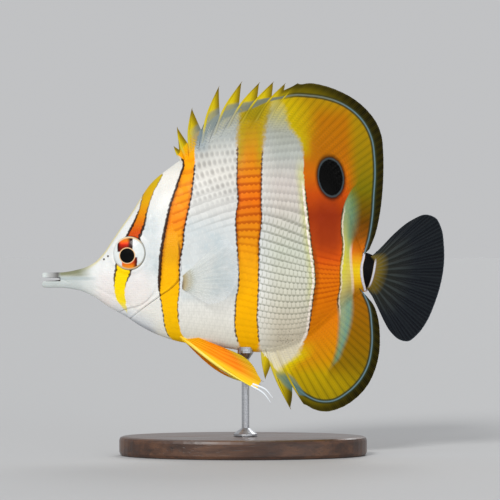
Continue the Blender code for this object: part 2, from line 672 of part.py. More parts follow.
def main():
    clear_scene()
    skin = finish("pale_skin", (0.86, 0.86, 0.84), 0.45)
    lips = finish("lip_skin", (0.80, 0.80, 0.82), 0.4)
    yellow = finish("yellow_fin", (0.80, 0.52, 0.03), 0.45)
    clear = finish("clear_fin", (0.72, 0.74, 0.76), 0.4)
    smoky = finish("smoky_fin", (0.10, 0.11, 0.13), 0.4)
    glossy = finish("eye_gloss", (0.75, 0.72, 0.68), 0.1)
    wood = finish("base_wood", (0.10, 0.06, 0.04), 0.4)
    steel = finish("rod_steel", (0.55, 0.55, 0.56), 0.3, 1.0)

    make_flesh(skin)
    make_jaws(lips)
    for side, sign in (("left", -1), ("right", 1)):
        turned_eye("eye_" + side, sign, made=glossy)

    grown = whole_body("grown_body", cutter=True)
    swell = grown.modifiers.new("swell", "DISPLACE")
    swell.strength = GAP
    swell.mid_level = 0
    apply_modifiers(grown)

    fins = make_soft_fins(yellow)
    fins.append(make_spiny_fin("dorsal_fin_spiny", DORSAL_SPINES, DORSAL_SPLIT, DORSAL_SPINE_RADIUS,
                               DORSAL_SPINE_BOW, yellow))
    fins.append(make_spiny_fin("anal_fin_spiny", ANAL_SPINES, ANAL_SPLIT, ANAL_SPINE_RADIUS,
                               ANAL_SPINE_BOW, yellow))
    make_caudal_fin(smoky)
    for side, sign in (("left", -1), ("right", 1)):
        fins.append(make_pectoral_fin(side, sign, clear))
        fins.append(make_pelvic_fin(side, sign, yellow))
    for fin in fins:
        carve(fin, grown, solver="MANIFOLD")
        keep_largest(fin)
    make_stand(wood, steel, grown)

    for obj in bpy.data.collections[FISH].objects:
        obj.data.shade_smooth()
        obj.data.set_sharp_from_angle(angle=math.radians(40))


main()
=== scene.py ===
"""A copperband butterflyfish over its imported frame: skin, scales, rayed fins, eyes and display stand.

The snout points along -X, the back along +Z and the left flank along -Y. Outlines are lists of
(x, z) in millimetres: x from the middle of the fish's length, z from the line of the snout.
"""

import math

import bpy
import numpy as np
from mathutils import Matrix, Vector


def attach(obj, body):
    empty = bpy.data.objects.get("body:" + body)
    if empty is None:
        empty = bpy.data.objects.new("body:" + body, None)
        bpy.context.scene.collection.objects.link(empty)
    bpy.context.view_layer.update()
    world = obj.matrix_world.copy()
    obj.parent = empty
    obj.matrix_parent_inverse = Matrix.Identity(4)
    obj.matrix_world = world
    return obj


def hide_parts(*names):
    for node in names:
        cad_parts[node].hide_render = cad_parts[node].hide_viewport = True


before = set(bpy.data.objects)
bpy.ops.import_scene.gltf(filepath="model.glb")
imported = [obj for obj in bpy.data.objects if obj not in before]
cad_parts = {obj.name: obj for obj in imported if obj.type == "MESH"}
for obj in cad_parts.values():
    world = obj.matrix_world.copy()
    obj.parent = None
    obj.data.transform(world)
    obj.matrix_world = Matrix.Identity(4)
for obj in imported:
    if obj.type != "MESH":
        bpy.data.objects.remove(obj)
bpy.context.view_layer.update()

MM = 0.001
SNOUT_HEIGHT = 73.7
SIDES = (("left", -1), ("right", 1))

# The line of the back and of the belly
BACK = [
    (-84.6, 1.9), (-84.1, 2.9), (-82.5, 3.1), (-77, 3.1), (-68.5, 4.5), (-63, 6.8), (-58.8, 10.8),
    (-55, 16.4), (-51.2, 22.0), (-46.2, 29.1), (-42.6, 35.0), (-39.1, 40.0), (-34.6, 44.2), (-30.2, 47.5),
    (-26, 50.6), (-18, 57.0), (-9.7, 62.5), (0.8, 66.6), (10, 67.2), (21.8, 63.8), (30.2, 56.7),
    (37.8, 45.4), (43.7, 31.5), (47.9, 18.1), (50.4, 11.8), (53, 11.0), (56, 9.4), (60, 5.6), (62, 3.6),
]
BELLY = [
    (-84.6, -1.9), (-84.1, -3.0), (-82.5, -3.3), (-77, -3.3), (-69.7, -4.2), (-63, -6.8), (-56.3, -11.4),
    (-48.7, -15.7), (-43.8, -19.0), (-36.5, -22.8), (-30.9, -24.9), (-24.8, -26.4), (-18.5, -27.2),
    (-9.2, -28.4), (-1.3, -29.6), (6.7, -30.4), (12, -30.4), (19.7, -28.4), (28.1, -23.6), (36.5, -16.8),
    (43.7, -10.3), (47.9, -6.8), (50.4, -5.2), (53, -4.6), (56, -3.0), (60, 1.4), (62, 3.2),
]
# The height of the widest line, and the half width there
WIDEST = [
    (-84.6, 0), (-63, 1.0), (-55, 4.0), (-47.5, 8.0), (-36, 10), (-20, 9), (20, 8), (45, 5), (56, 3.2),
    (62, 3.4),
]
HALF_WIDTH = [
    (-84.6, 0.5), (-84.1, 1.0), (-82.5, 1.2), (-77, 1.3), (-70, 1.7), (-63, 2.8), (-58, 4.2), (-52, 6.0),
    (-46, 7.4), (-38, 8.9), (-28, 10.2), (-15, 11.0), (0, 11.0), (12, 10.0), (24, 8.1), (34, 6.0),
    (42, 4.2), (48, 3.2), (53, 2.4), (57, 1.3), (62, 0.25),
]
# How sharp a section's edge is: 0.5 is an ellipse, 1 is a lens
BACK_EDGE = [(-84.6, 0.5), (-60, 0.52), (-40, 0.6), (-25, 0.7), (0, 0.82), (45, 0.86), (62, 0.6)]
BELLY_EDGE = [(-84.6, 0.5), (-50, 0.58), (0, 0.62), (18, 0.78), (45, 0.82), (62, 0.6)]

# Head
GILL_EDGE = [
    (-36.5, 54), (-33.6, 45.4), (-30.7, 35.3), (-28.1, 23.1), (-26.3, 12.6), (-25.8, 5.0), (-26.9, 0.0),
    (-30.0, -3.4), (-34.9, -6.7), (-40.7, -10.9), (-47.0, -16.0), (-52, -21),
]
GILL_RING = -36.0
CHEEK_FOLD = [(-38.5, 24), (-37, 14), (-36.0, 3), (-37.0, -4.5), (-41.5, -9.5), (-50, -12.5)]
LOWER_FOLD = [(-62, -3.2), (-56, -6.0), (-50, -9.0), (-44, -13.5)]
MOUTH_LINE = [(-78, 0.4), (-75.5, 0.0), (-73.4, -1.2)]
MOUTH_OPENING = [
    (-86, 2.0), (-84.6, 1.85), (-84.3, 1.3), (-83.9, 1.0), (-82.5, 0.9), (-79, 0.85), (-77.2, 0.7),
    (-76.8, 0.3), (-77.2, -0.1), (-79, -0.35), (-82.5, -0.5), (-83.9, -0.75), (-84.3, -1.2), (-84.6, -1.85),
    (-86, -2.0),
]
NOSTRILS = [(-58.3, 8.6), (-56.6, 9.9)]
EYE_CENTRE = (-47.5, 11.2)
EYE_RADIUS, EYE_BULGE, EYE_DEPTH, EYE_SINK, SOCKET_GROW = 7.0, 1.7, 3.4, 0.1, 0.16

# Fins: each spine as its root, its tip and the lowest point of the notch behind it
PANEL_COLUMNS, NOTCH_SHARE, NOTCH_POINTS, RAY_COLUMNS, SPINE_RINGS = 22, 0.86, 60, 7, 22
DORSAL_SPINES = [
    ((-25.0, 49.0), (-29.1, 56.2), (-26.9, 54.6)),
    ((-23.6, 50.5), (-27.7, 64.2), (-22.9, 56.8)),
    ((-22.0, 51.8), (-21.4, 72.2), (-17.6, 62.8)),
    ((-17.4, 55.0), (-10.0, 81.4), (-9.8, 68.3)),
    ((-12.8, 58.6), (-0.4, 83.3), (-1.8, 72.7)),
    ((-7.6, 61.2), (7.1, 83.0), (5.7, 75.0)),
    ((-2.0, 63.0), (13.0, 83.3), (12.0, 77.1)),
    ((4.0, 63.8), (17.9, 82.6), (17.1, 79.6)),
    ((9.6, 63.8), (22.9, 82.6), (23.4, 82.3)),
]
DORSAL_ROOT = [(11.9, 63.2), (20, 60.8), (28, 54.0), (35, 43.5), (41, 30.5), (45.5, 17.0), (48.6, 8.5)]
DORSAL_MARGIN = [
    (24.1, 82.3), (27.8, 82.7), (34, 81.7), (40.7, 79.3), (46.9, 75.9), (52.5, 71.0), (56.2, 66.0),
    (58.3, 60.5), (59.0, 53.8), (59.1, 45.1), (58.6, 35.8), (57.4, 26.6), (55.5, 18.6), (53.2, 13.0),
]
DORSAL_RAYS = 29
ANAL_SPINES = [
    ((8.0, -27.5), (9.4, -41.8), (11.9, -34.5)),
    ((9.4, -27.6), (20.1, -54.5), (20.7, -44.9)),
    ((13.4, -27.6), (25.6, -52.4), (25.9, -52.0)),
]
ANAL_ROOT = [(15.6, -27.3), (21, -25.6), (28, -21.2), (35, -15.2), (42, -8.8), (48.6, -3.2)]
ANAL_MARGIN = [
    (26.6, -52.8), (29.7, -54.5), (34.6, -55.5), (41.4, -53.8), (47.5, -49.9), (52.5, -44.3), (55.5, -38.1),
    (57.2, -31.4), (57.6, -23.4), (56.8, -16.0), (54.9, -10.6), (52.0, -7.0),
]
ANAL_RAYS = 20
CAUDAL_ROOT = [(53.4, 9.6), (54.4, 6.4), (54.0, 2.6), (52.8, -0.6), (51.6, -3.4)]
CAUDAL_MARGIN = [
    (57.2, 12.6), (63.8, 19.7), (70.9, 25.2), (77.1, 27.5), (81.1, 26.0), (83.4, 21.8), (84.5, 14.7),
    (84.6, 7.6), (83.2, -1.7), (80.6, -10.1), (77.3, -17.6), (73.3, -23.1), (69.3, -26.0), (65.5, -25.2),
    (62.2, -22.3), (58.9, -16.8), (56.4, -10.9), (54.2, -6.4),
]
CAUDAL_RAYS = 17
PECTORAL_ROOT = [(-25.6, 1.2), (-25.0, -3.8)]
PECTORAL_MARGIN = [
    (-9.0, 17.2), (-5.6, 16.0), (-2.4, 10.8), (-1.6, 4.0), (-3.6, -3.2), (-8.0, -8.4), (-14.6, -9.8),
    (-17.6, -8.4),
]
PECTORAL_RAYS, PECTORAL_SPLAY, PECTORAL_SINK, PECTORAL_CURVE = 14, 0.45, 0.9, 0.005
PELVIC_ROOT = [(-25.8, -25.2), (-18.6, -24.2)]
PELVIC_MARGIN = [
    (6.1, -46.0), (6.6, -44.0), (7.6, -42.4), (6.2, -39.4), (4.8, -36.6), (2.9, -34.2), (0, -31.9),
    (-3.6, -30.1),
]
PELVIC_RAYS, PELVIC_ROOT_OUT, PELVIC_LENGTH = 6, 2.1, 37.0
PELVIC_SPINE = [(-26.2, -23.6), (-9.4, -36.6), (6.1, -46.0)]
PELVIC_FILAMENTS = [[(3.4, -44.2), (8.9, -47.6), (11.5, -51.1)], [(4.0, -43.4), (9.6, -45.9), (12.4, -49.2)]]
PELVIC_POSE = {"left": (0.0, 0.14, 0.0), "right": (8.0, 0.28, 6.0)}

# Markings: each edge from its upper end down
EYE_BAND_FRONT = [
    (-37.0, 44.5), (-41.2, 39.6), (-41.9, 36.6), (-42.4, 34.0), (-43.8, 28.4), (-46.2, 22.9), (-48.6, 18.0),
    (-49.5, 13),
]
EYE_BAND_REAR = [(-33.8, 44.5), (-37.4, 37.0), (-39.9, 29.7), (-41.4, 22.9), (-43.3, 17.3), (-44, 13)]
CHEEK_BAND_FRONT = [
    (-53.0, 8.0), (-53.1, 5.0), (-53.8, 0.7), (-53.7, -4.2), (-53.1, -7.7), (-51.2, -10.8), (-48.6, -14.2),
]
CHEEK_BAND_REAR = [(-46.4, 8.0), (-47.0, 3.2), (-48.8, -1.1), (-49.4, -5.5), (-49.1, -8.9), (-48.5, -14.2)]
NAPE_BAND_FRONT = [
    (-33, 60), (-31, 54.5), (-25.6, 50.8), (-25.0, 49.0), (-26.6, 42.6), (-30.3, 31.5), (-32.2, 22.9),
    (-33.7, 14.3), (-34.6, 5.0), (-34.9, -4.2), (-34.0, -10.8), (-33.1, -16.9), (-31.8, -22.5),
    (-30.3, -24.6), (-28, -27),
]
NAPE_BAND_REAR = [
    (-18.5, 62), (-20.2, 56), (-20.2, 50.0), (-21.1, 38.9), (-22.6, 29.7), (-24.4, 21.7), (-25.1, 14.3),
    (-26.3, 8.1), (-26.6, -4.2), (-27.2, -9.5), (-26.9, -16.9), (-25.4, -23.1), (-22.5, -27),
]
FLANK_BAND_FRONT = [
    (-1.1, 69.7), (-2.1, 60.5), (-2.4, 48.8), (-2.5, 40.2), (-2.1, 32.8), (-2.9, 26.6), (-2.7, 17.3),
    (-2.1, 8.1), (-2.1, -4.2), (-2.7, -6.7), (-3.3, -13.4), (-3.3, -21.0), (-1.8, -27.7), (-1.6, -31),
]
FLANK_BAND_REAR = [
    (11.8, 76.4), (9.7, 66.8), (8.4, 57.5), (7.8, 48.3), (7.6, 39.1), (7.6, 29.8), (7.8, 25.4), (6.8, 17.3),
    (6.6, 8.1), (6.3, -6.7), (5.9, -16.0), (6.3, -22.3), (6.8, -27.7), (7, -31),
]
FIN_BAND_FRONT = [
    (15.1, 76.4), (17.3, 72.8), (19.2, 64.8), (23.5, 58.6), (25.3, 51.2), (25.3, 45.1), (26.2, 35.8),
    (27.2, 26.6), (28.4, 15.5), (29.7, 6.3), (30.2, -1.1), (29.4, -6.7), (28.4, -14.7), (27.2, -22.3),
    (25.3, -26.5), (21.6, -32.6), (17.3, -35.7), (15.1, -38.6), (13, -44),
]
FIN_BAND_REAR = [
    (47.5, 40), (46.2, 38.6), (43.8, 34.6), (42.0, 29.7), (41.1, 21.7), (41.7, 14.3), (40.7, 5.0),
    (40.4, -4.2), (39.8, -6.7), (40.4, -16.0), (40.2, -22.1), (39.5, -28.3), (37.0, -36.3), (36, -38),
]
PALE_STREAK_REAR = [
    (46.5, 40), (46.6, 37.4), (47.2, 33.6), (47.5, 29.4), (47.2, 25.2), (46.6, 21.0), (45.8, 16.8),
    (45.1, 12.6), (45.1, 8.4), (45.4, 4.2), (45.8, 0.0), (46.0, -4.2), (46.0, -8.4), (45.4, -16.8),
    (44.5, -21.0), (43.3, -25.2), (41.6, -29.4), (39.9, -33.6), (37.0, -36.6), (36, -38),
]
TAIL_WHITE_FRONT = [(50.4, 11.5), (50.0, 9), (49.3, 6.3), (49.1, 3.4), (49.5, 0.0), (50.7, -4.2), (50.9, -6)]
TAIL_BLACK_FRONT = [(51.3, 11.5), (51.0, 9), (50.3, 6.3), (50.2, 3.4), (50.7, -0.4), (51.7, -4.2), (52, -6)]
TAIL_BLACK_REAR = [
    (55.6, 11.5), (55.5, 9.7), (54.9, 6.3), (54.1, 2.1), (52.9, -2.1), (52.0, -4.2), (51.8, -6),
]
TAIL_WHITE_REAR = [(56.3, 11.5), (56.1, 9.7), (55.7, 6.3), (54.9, 2.1), (53.6, -2.1), (52.6, -4.2), (52, -6)]
DORSAL_LINE = [
    (-26, 54), (-19.7, 60.9), (-15.5, 64.3), (-11.8, 68.0), (-4.6, 71.4), (2.5, 73.1), (9.7, 75.4),
    (16.1, 76.5), (21.6, 77.6), (27.2, 77.4), (34.0, 76.5), (41.4, 74.0), (46.9, 70.3), (51.2, 65.4),
    (54.0, 59.3), (55.2, 51.2), (55.4, 43.8), (54.9, 35.8), (54.3, 26.6), (52.8, 17.3), (50.6, 10.0),
]
ANAL_LINE = [
    (49.6, -4.0), (50.9, -6.4), (52.8, -10.8), (54.0, -19.1), (54.0, -28.3), (52.5, -35.7), (48.8, -42.5),
    (43.8, -47.4), (37.7, -50.8), (31.5, -50.8), (26.6, -48.6), (24.1, -46.8), (19.7, -43.3), (16.0, -39.5),
    (12.5, -35.5),
]

# How steeply the scale rows climb towards the tail, in degrees, at places on the flank
ROW_SLOPES = [
    (-24, 52, 8), (-11, 52, 2), (-11, 46, 17), (-11, 38, 18.5), (-11, 29, 20), (-13, 22, 20), (-22, 40, 20),
    (-24, 25, 22), (-24, 8, 12), (-12, 8, 7), (-22, -8, 0), (-10, -10, -5), (-22, -22, -8), (-8, -24, -7),
    (1, 62, 5), (1, 48, 3), (1, 38, 3), (1, 27, 8), (1, 20, 4), (1, 12, -4), (1, 0, -10), (1, -10, -13),
    (1, -24, -8), (12, 23, -18), (20, 20, -22), (16, 40, -4), (16, 34, -7), (16, 52, 6), (8, 14, -17),
    (18, 14, -18), (27, 14, -17), (8, 9, -15), (27, 7, -14), (8, 1, -16), (18, -1, -9), (27, -2, 0),
    (8, -8, -15), (17, -10, -4), (27, -9, 8), (9, -11, -16), (17, -13, -2), (27, -12, 12), (17, -24, -2),
    (27, -20, 16), (36, 20, -27), (36, 12, -17), (36, 3, -3), (36, -6, 12), (36, -14, 26), (44, 14, -22),
    (44, 4, -3), (44, -5, 18), (50, 4, 0), (36, 34, -34), (28, 45, -16),
]
ROW_SPACING = [(-34, 2.3), (-20, 2.55), (-8, 2.8), (10, 3.05), (30, 3.2), (50, 3.1), (60, 2.6), (70, 2.0)]
ROW_STEP = [(-30, 2.0), (-12, 2.2), (-2, 2.1), (8, 1.8), (28, 1.72), (45, 1.5), (60, 1.2)]
SEED_X, LOWEST_ROW, HIGHEST_ROW = 2.0, -33.0, 70.0
COAT_DEPTH, COAT_REAR = 0.15, 49.3
STATIONS, SHARES = np.linspace(-42, 60, 205), np.linspace(-1, 1, 241)
COAT_FRONT = [
    (-31, 66), (-29.5, 56), (-26.5, 50), (-27.8, 42.6), (-31.3, 31.5), (-33.0, 24.0), (-27.5, 16.5),
    (-25.2, 12.6),
]


# Curves and lines

def smooth_between(t, step, start, end, slope, next_slope):
    """A smooth curve from one value to the next, read a share t of the step along."""
    return ((1 + 2 * t) * (1 - t) ** 2 * start + t * (1 - t) ** 2 * step * slope
            + t * t * (3 - 2 * t) * end + t * t * (t - 1) * step * next_slope)


def smooth_through(points, at):
    """The smooth curve through (place, value) points, which never overshoots them, read at `at`."""
    places, values = (np.array(column, float) for column in zip(*points))
    steps = np.diff(places)
    slopes = np.diff(values) / steps
    before, after = slopes[:-1], slopes[1:]
    rising = before * after > 0
    weight_a, weight_b = 2 * steps[1:] + steps[:-1], steps[1:] + 2 * steps[:-1]
    safe_before, safe_after = np.where(rising, before, 1), np.where(rising, after, 1)
    mean = (weight_a + weight_b) / (weight_a / safe_before + weight_b / safe_after)
    tangents = np.concatenate([slopes[:1], np.where(rising, mean, 0), slopes[-1:]])
    at = np.clip(at, places[0], places[-1])
    k = np.clip(np.searchsorted(places, at, side="right") - 1, 0, len(steps) - 1)
    t = (at - places[k]) / steps[k]
    return smooth_between(t, steps[k], values[k], values[k + 1], tangents[k], tangents[k + 1])


def run_of(points):
    """Distance walked up to each point of a line."""
    return np.concatenate([[0], np.cumsum(np.linalg.norm(np.diff(points, axis=0), axis=1))])


def smooth_line(points, count):
    """`count` points spread evenly along the smooth line through these ones."""
    points = np.array(points, float)
    run = run_of(points)
    fine = np.linspace(0, run[-1], 40 * len(points))
    k = np.clip(np.searchsorted(run, fine, side="right") - 1, 0, len(run) - 2)
    step = run[k + 1] - run[k]
    t = (fine - run[k]) / step
    dense = []
    for axis in points.T:
        slope = np.gradient(axis, run)
        dense.append(smooth_between(t, step, axis[k], axis[k + 1], slope[k], slope[k + 1]))
    dense = np.stack(dense, axis=1)
    run = run_of(dense)
    wanted = np.linspace(0, run[-1], count)
    return np.stack([np.interp(wanted, run, axis) for axis in dense.T], axis=1)


def eased(value, low, high):
    """0 below `low`, 1 above `high`, and a soft step between them."""
    t = np.clip((value - low) / (high - low), 0, 1)
    return t * t * (3 - 2 * t)


def bell(value, width):
    """1 at 0, and next to nothing two widths away."""
    return np.exp(-((value / width) ** 2))


def line_distance(x, z, line, count=160):
    """Distance from (x, z) to a line, positive on its left as one walks along it."""
    line = smooth_line(line, count)
    best, signed = np.full(np.shape(x), 1e9), np.zeros(np.shape(x))
    for (ax, az), (rx, rz) in zip(line, np.diff(line, axis=0)):
        t = np.clip(((x - ax) * rx + (z - az) * rz) / (rx * rx + rz * rz), 0, 1)
        dx, dz = x - ax - t * rx, z - az - t * rz
        gap = np.hypot(dx, dz)
        nearer = gap < best
        best = np.where(nearer, gap, best)
        signed = np.where(nearer, gap * np.sign(rx * dz - rz * dx + 1e-12), signed)
    return signed


def levels(x):
    """Heights of the back, the belly and the widest line at station x."""
    return (smooth_through(line, x) for line in (BACK, BELLY, WIDEST))


def section(x, around):
    """Half width and height of the skin at station x, `around` radians up from the widest line."""
    top, bottom, middle = levels(x)
    rise, turn = np.sin(around), np.cos(around)
    edge = np.where(rise > 0, smooth_through(BACK_EDGE, x), smooth_through(BELLY_EDGE, x))
    z = middle + rise * np.where(rise > 0, top - middle, middle - bottom)
    return smooth_through(HALF_WIDTH, x) * np.sign(turn) * np.abs(turn) ** (2 * edge), z


def flank(x, z):
    """Half width of the body at a point of its side view, 0 outside it."""
    top, bottom, middle = levels(x)
    rise = np.where(z > middle, (z - middle) / (top - middle), (middle - z) / (middle - bottom))
    edge = np.where(z > middle, smooth_through(BACK_EDGE, x), smooth_through(BELLY_EDGE, x))
    return smooth_through(HALF_WIDTH, x) * np.clip(1 - rise * rise, 0, 1) ** edge


def gill_edge(z):
    line = smooth_line(GILL_EDGE, 200)[::-1]
    return np.interp(z, line[:, 1], line[:, 0])


def coat_front(z):
    """Where the scale coat starts: up on the nape, and behind the gill cover below it."""
    line = np.array(COAT_FRONT[::-1])
    above = np.interp(z, line[:, 1], line[:, 0])
    return np.where(z > COAT_FRONT[-1][1], above, gill_edge(z) + 1.1)


def relief(x, z):
    """How far the folds of the head stand out from the plain form."""
    past = x - gill_edge(z)
    low = eased(-z, -21, -13)
    cover = 0.4 * eased(x, -50, -36) * low
    out = cover * eased(-past, -0.06, 0.06)
    out -= 0.24 * bell(np.maximum(past, 0), 0.6) * (past > -0.06) * low
    out += 0.12 * bell(past + 1.0, 0.5) * low
    cheek = line_distance(x, z, CHEEK_FOLD, 60)
    out += 0.2 * eased(-cheek, -0.5, 0.3) * bell(np.minimum(cheek, 0), 3.0) - 0.07
    out -= 0.16 * bell(cheek - 0.4, 0.5)
    out -= 0.14 * bell(line_distance(x, z, LOWER_FOLD, 40), 0.6)
    out -= 0.2 * bell(line_distance(x, z, MOUTH_LINE, 20), 0.35)
    ring = np.hypot(x - EYE_CENTRE[0], z - EYE_CENTRE[1])
    out += 0.34 * bell(ring - EYE_RADIUS - 0.75, 0.6)
    out -= 0.1 * bell(ring - EYE_RADIUS - 2.4, 0.9)
    for at_x, at_z in NOSTRILS:
        out += 0.14 * bell(np.hypot(x - at_x, z - at_z) - 0.62, 0.28)
    return out * eased(x, -80, -74) * eased(-x, 14, 20)


def warped(station, around):
    """Station of each point, moved so that one ring of the skin follows the gill cover's edge."""
    pull = eased(station, -64, GILL_RING - 1.6) * eased(-station, -2, -GILL_RING - 1.6)
    x = station.copy()
    for _ in range(14):
        _, z = section(x, around)
        x = 0.4 * x + 0.6 * (station + pull * (gill_edge(z) - GILL_RING))
    return x


def seen(x, y, z):
    """Points in metres from millimetres in the outlines' frame."""
    return np.stack([np.asarray(x) * MM, np.asarray(y) * MM, (np.asarray(z) + SNOUT_HEIGHT) * MM], axis=-1)


# Mesh work

def nothing_selected():
    if bpy.context.object and bpy.context.object.mode != "OBJECT":
        bpy.ops.object.mode_set(mode="OBJECT")
    bpy.ops.object.select_all(action="DESELECT")


def named(name):
    piece = bpy.context.object
    piece.name = piece.data.name = name
    return piece


def points_of(piece):
    flat = np.empty(len(piece.data.vertices) * 3)
    piece.data.vertices.foreach_get("co", flat)
    return flat.reshape(-1, 3)


def put_points(piece, points):
    piece.data.vertices.foreach_set("co", np.ascontiguousarray(points, float).ravel())
    piece.data.update()


def outline_points(piece):
    """A piece's points as x, y and z in millimetres in the outlines' frame."""
    x, y, z = points_of(piece).T / MM
    return x, y, z - SNOUT_HEIGHT


def picked(*pieces):
    nothing_selected()
    for piece in pieces:
        piece.select_set(True)
    bpy.context.view_layer.objects.active = pieces[0]


def keep(piece, **values):
    """Stores numbers at the piece's points, which its material reads."""
    for name, value in values.items():
        layer = piece.data.attributes.new(name, "FLOAT", "POINT")
        value = np.broadcast_to(np.asarray(value, np.float32), len(piece.data.vertices))
        layer.data.foreach_set("value", np.ascontiguousarray(value))


def edited(piece, work):
    """Does the work on the whole piece in edit mode."""
    picked(piece)
    bpy.ops.object.mode_set(mode="EDIT")
    bpy.ops.mesh.select_all(action="SELECT")
    work()
    bpy.ops.object.mode_set(mode="OBJECT")


def outward(piece):
    edited(piece, lambda: bpy.ops.mesh.normals_make_consistent(inside=False))


def extruded(piece, way):
    edited(piece, lambda: bpy.ops.mesh.extrude_region_move(TRANSFORM_OT_translate={"value": way}))
    outward(piece)


def smoothed(piece, angle):
    picked(piece)
    bpy.ops.object.shade_smooth_by_angle(angle=math.radians(angle))


def joined(*pieces):
    picked(*pieces)
    bpy.ops.object.join()
    return pieces[0]


def applied(piece, kind, **settings):
    picked(piece)
    modifier = piece.modifiers.new(kind.lower(), kind)
    for key, value in settings.items():
        setattr(modifier, key, value)
    bpy.ops.object.modifier_apply(modifier=modifier.name)


def finished(piece, material, replaced):
    """The piece wears this material, rides on the body and stands for these nodes."""
    piece.data.materials.clear()
    piece.data.materials.append(material)
    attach(piece, "root")
    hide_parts(*replaced)


def flat_grid(name, columns, rows):
    """A sheet of columns by rows, with the column and the row of each point."""
    nothing_selected()
    bpy.ops.mesh.primitive_grid_add(x_subdivisions=columns - 1, y_subdivisions=rows - 1, size=1)
    sheet = named(name)
    at = points_of(sheet)
    column = np.rint((at[:, 0] + 0.5) * (columns - 1)).astype(int)
    row = np.rint((at[:, 1] + 0.5) * (rows - 1)).astype(int)
    return sheet, column, row


def globe(name, segments, rings):
    """A ball of radius 1, with its points, whose poles lie along z."""
    nothing_selected()
    bpy.ops.mesh.primitive_uv_sphere_add(segments=segments, ring_count=rings, radius=1)
    ball = named(name)
    return ball, points_of(ball)


def thickened(sheet, thickness):
    """Gives a sheet the thickness, in millimetres, that its points ask for."""
    group = sheet.vertex_groups.new(name="thickness")
    most = float(thickness.max())
    shares = np.round(thickness / most, 3)
    for level in np.unique(shares):
        group.add(np.nonzero(shares == level)[0].tolist(), float(level), "REPLACE")
    applied(sheet, "SOLIDIFY", thickness=most * MM, offset=0, vertex_group="thickness")
    sheet.vertex_groups.clear()
    outward(sheet)
    smoothed(sheet, 60)


def tube(name, path, radii, sides=10):
    """A tapered spine: a ball whose rings follow the path."""
    rings = len(path)
    rod, at = globe(name, sides, rings + 1)
    ring = np.rint(np.arccos(np.clip(at[:, 2], -1, 1)) / math.pi * (rings + 1)).astype(int)
    around = np.arctan2(at[:, 1], at[:, 0])[:, None]
    tangent = np.gradient(path, axis=0)
    tangent /= np.linalg.norm(tangent, axis=1)[:, None]
    side = np.cross(tangent, [0, 1, 0])
    side /= np.linalg.norm(side, axis=1)[:, None]
    other = np.cross(side, tangent)
    k = np.clip(ring - 1, 0, rings - 1)
    end = np.where(ring == 0, -1, np.where(ring == rings + 1, 1, 0))[:, None]
    radius = radii[k][:, None]
    spot = path[k] + radius * np.where(end, 0, np.cos(around) * side[k] + np.sin(around) * other[k])
    spot += 0.4 * end * radius * tangent[k]
    put_points(rod, seen(*spot.T))
    outward(rod)
    smoothed(rod, 60)
    return rod


# Skin

def skin_stations():
    """Stations of the skin's rings: close on the snout and head and at the gill cover's edge."""
    x = np.linspace(-84.6, 62, 4000)
    density = np.interp(x, [-84.6, -83, -78, -60, -30, -20, 50, 62], [6, 3, 1.8, 2.6, 2.6, 1.5, 1.5, 2.4])
    density += 9 * bell(x - GILL_RING, 0.55)
    run = np.concatenate([[0], np.cumsum((density[1:] + density[:-1]) / 2 * np.diff(x))])
    return np.interp(np.linspace(0, run[-1], 301), run, x)


def make_skin(material):
    """One skin from the jaws to the tail, with the folds of the head, sockets, nostrils and mouth."""
    stations = skin_stations()
    rings = len(stations) - 1
    skin, at = globe("skin", 250, rings)
    polar = np.arccos(np.clip(at[:, 2], -1, 1))
    station = stations[np.rint(polar / math.pi * rings).astype(int)]
    pole = np.abs(at[:, 2]) > 1 - 1e-7
    around = np.arctan2(at[:, 1], at[:, 0])
    x = warped(station, around)
    half, z = section(x, around)
    half = np.where(pole, 0, half)
    # Stand off the plain form along its normal, by the folds less the coat's depth
    half_on, z_on = section(x, around + 1e-3)
    run_y, run_z = half_on - half, z_on - z
    length = np.maximum(np.hypot(run_y, run_z), 1e-9)
    stand = relief(x, z) - COAT_DEPTH * eased(x, -34, -24)
    stand = np.where(pole, 0, stand * eased(np.abs(half), 0.0, 0.8))
    put_points(skin, seen(x, half + run_z / length * stand, z - run_y / length * stand))
    outward(skin)

    cutters = [eye_ball("socket_" + side, sign, SOCKET_GROW) for side, sign in SIDES]
    for side, sign in SIDES:
        for k, (at_x, at_z) in enumerate(NOSTRILS):
            nothing_selected()
            place = seen(at_x, sign * float(flank(at_x, at_z)), at_z)
            bpy.ops.mesh.primitive_uv_sphere_add(segments=16, ring_count=10, radius=0.42 * MM, location=place)
            bpy.ops.object.transform_apply(location=True, rotation=False, scale=False)
            cutters.append(named(f"nostril_{side}_{k}"))
    cutter = joined(*cutters, mouth_opening())
    applied(skin, "BOOLEAN", object=cutter, operation="DIFFERENCE", solver="EXACT")
    bpy.data.objects.remove(cutter, do_unlink=True)
    smoothed(skin, 60)
    finished(skin, material, ("head", "trunk", "tail_base", "jaw_upper", "jaw_lower"))


def mouth_opening():
    """The gap between the jaws, drawn in side view and run across the snout."""
    nothing_selected()
    bpy.ops.mesh.primitive_circle_add(vertices=len(MOUTH_OPENING), radius=1, fill_type="NGON")
    gap = named("mouth_opening")
    x, z = np.array(MOUTH_OPENING).T
    put_points(gap, seen(x, np.full(len(x), -4.0), z))
    extruded(gap, (0, 8 * MM, 0))
    return gap


# Eyes

def eye_turn(sign):
    """Place and turn of an eye, which is set square to the flank."""
    x, z = EYE_CENTRE
    step = 3.0
    slope_x = float(flank(x + step, z) - flank(x - step, z)) / (2 * step)
    slope_z = float(flank(x, z + step) - flank(x, z - step)) / (2 * step)
    out = Vector((-slope_x, 1.0, -slope_z)).normalized()
    centre = Vector(seen(x, float(flank(x, z)) - EYE_SINK, z))
    turned = Matrix.Translation(centre) @ Vector((0, 0, 1)).rotation_difference(out).to_matrix().to_4x4()
    return Matrix.Scale(sign, 4, (0, 1, 0)) @ turned


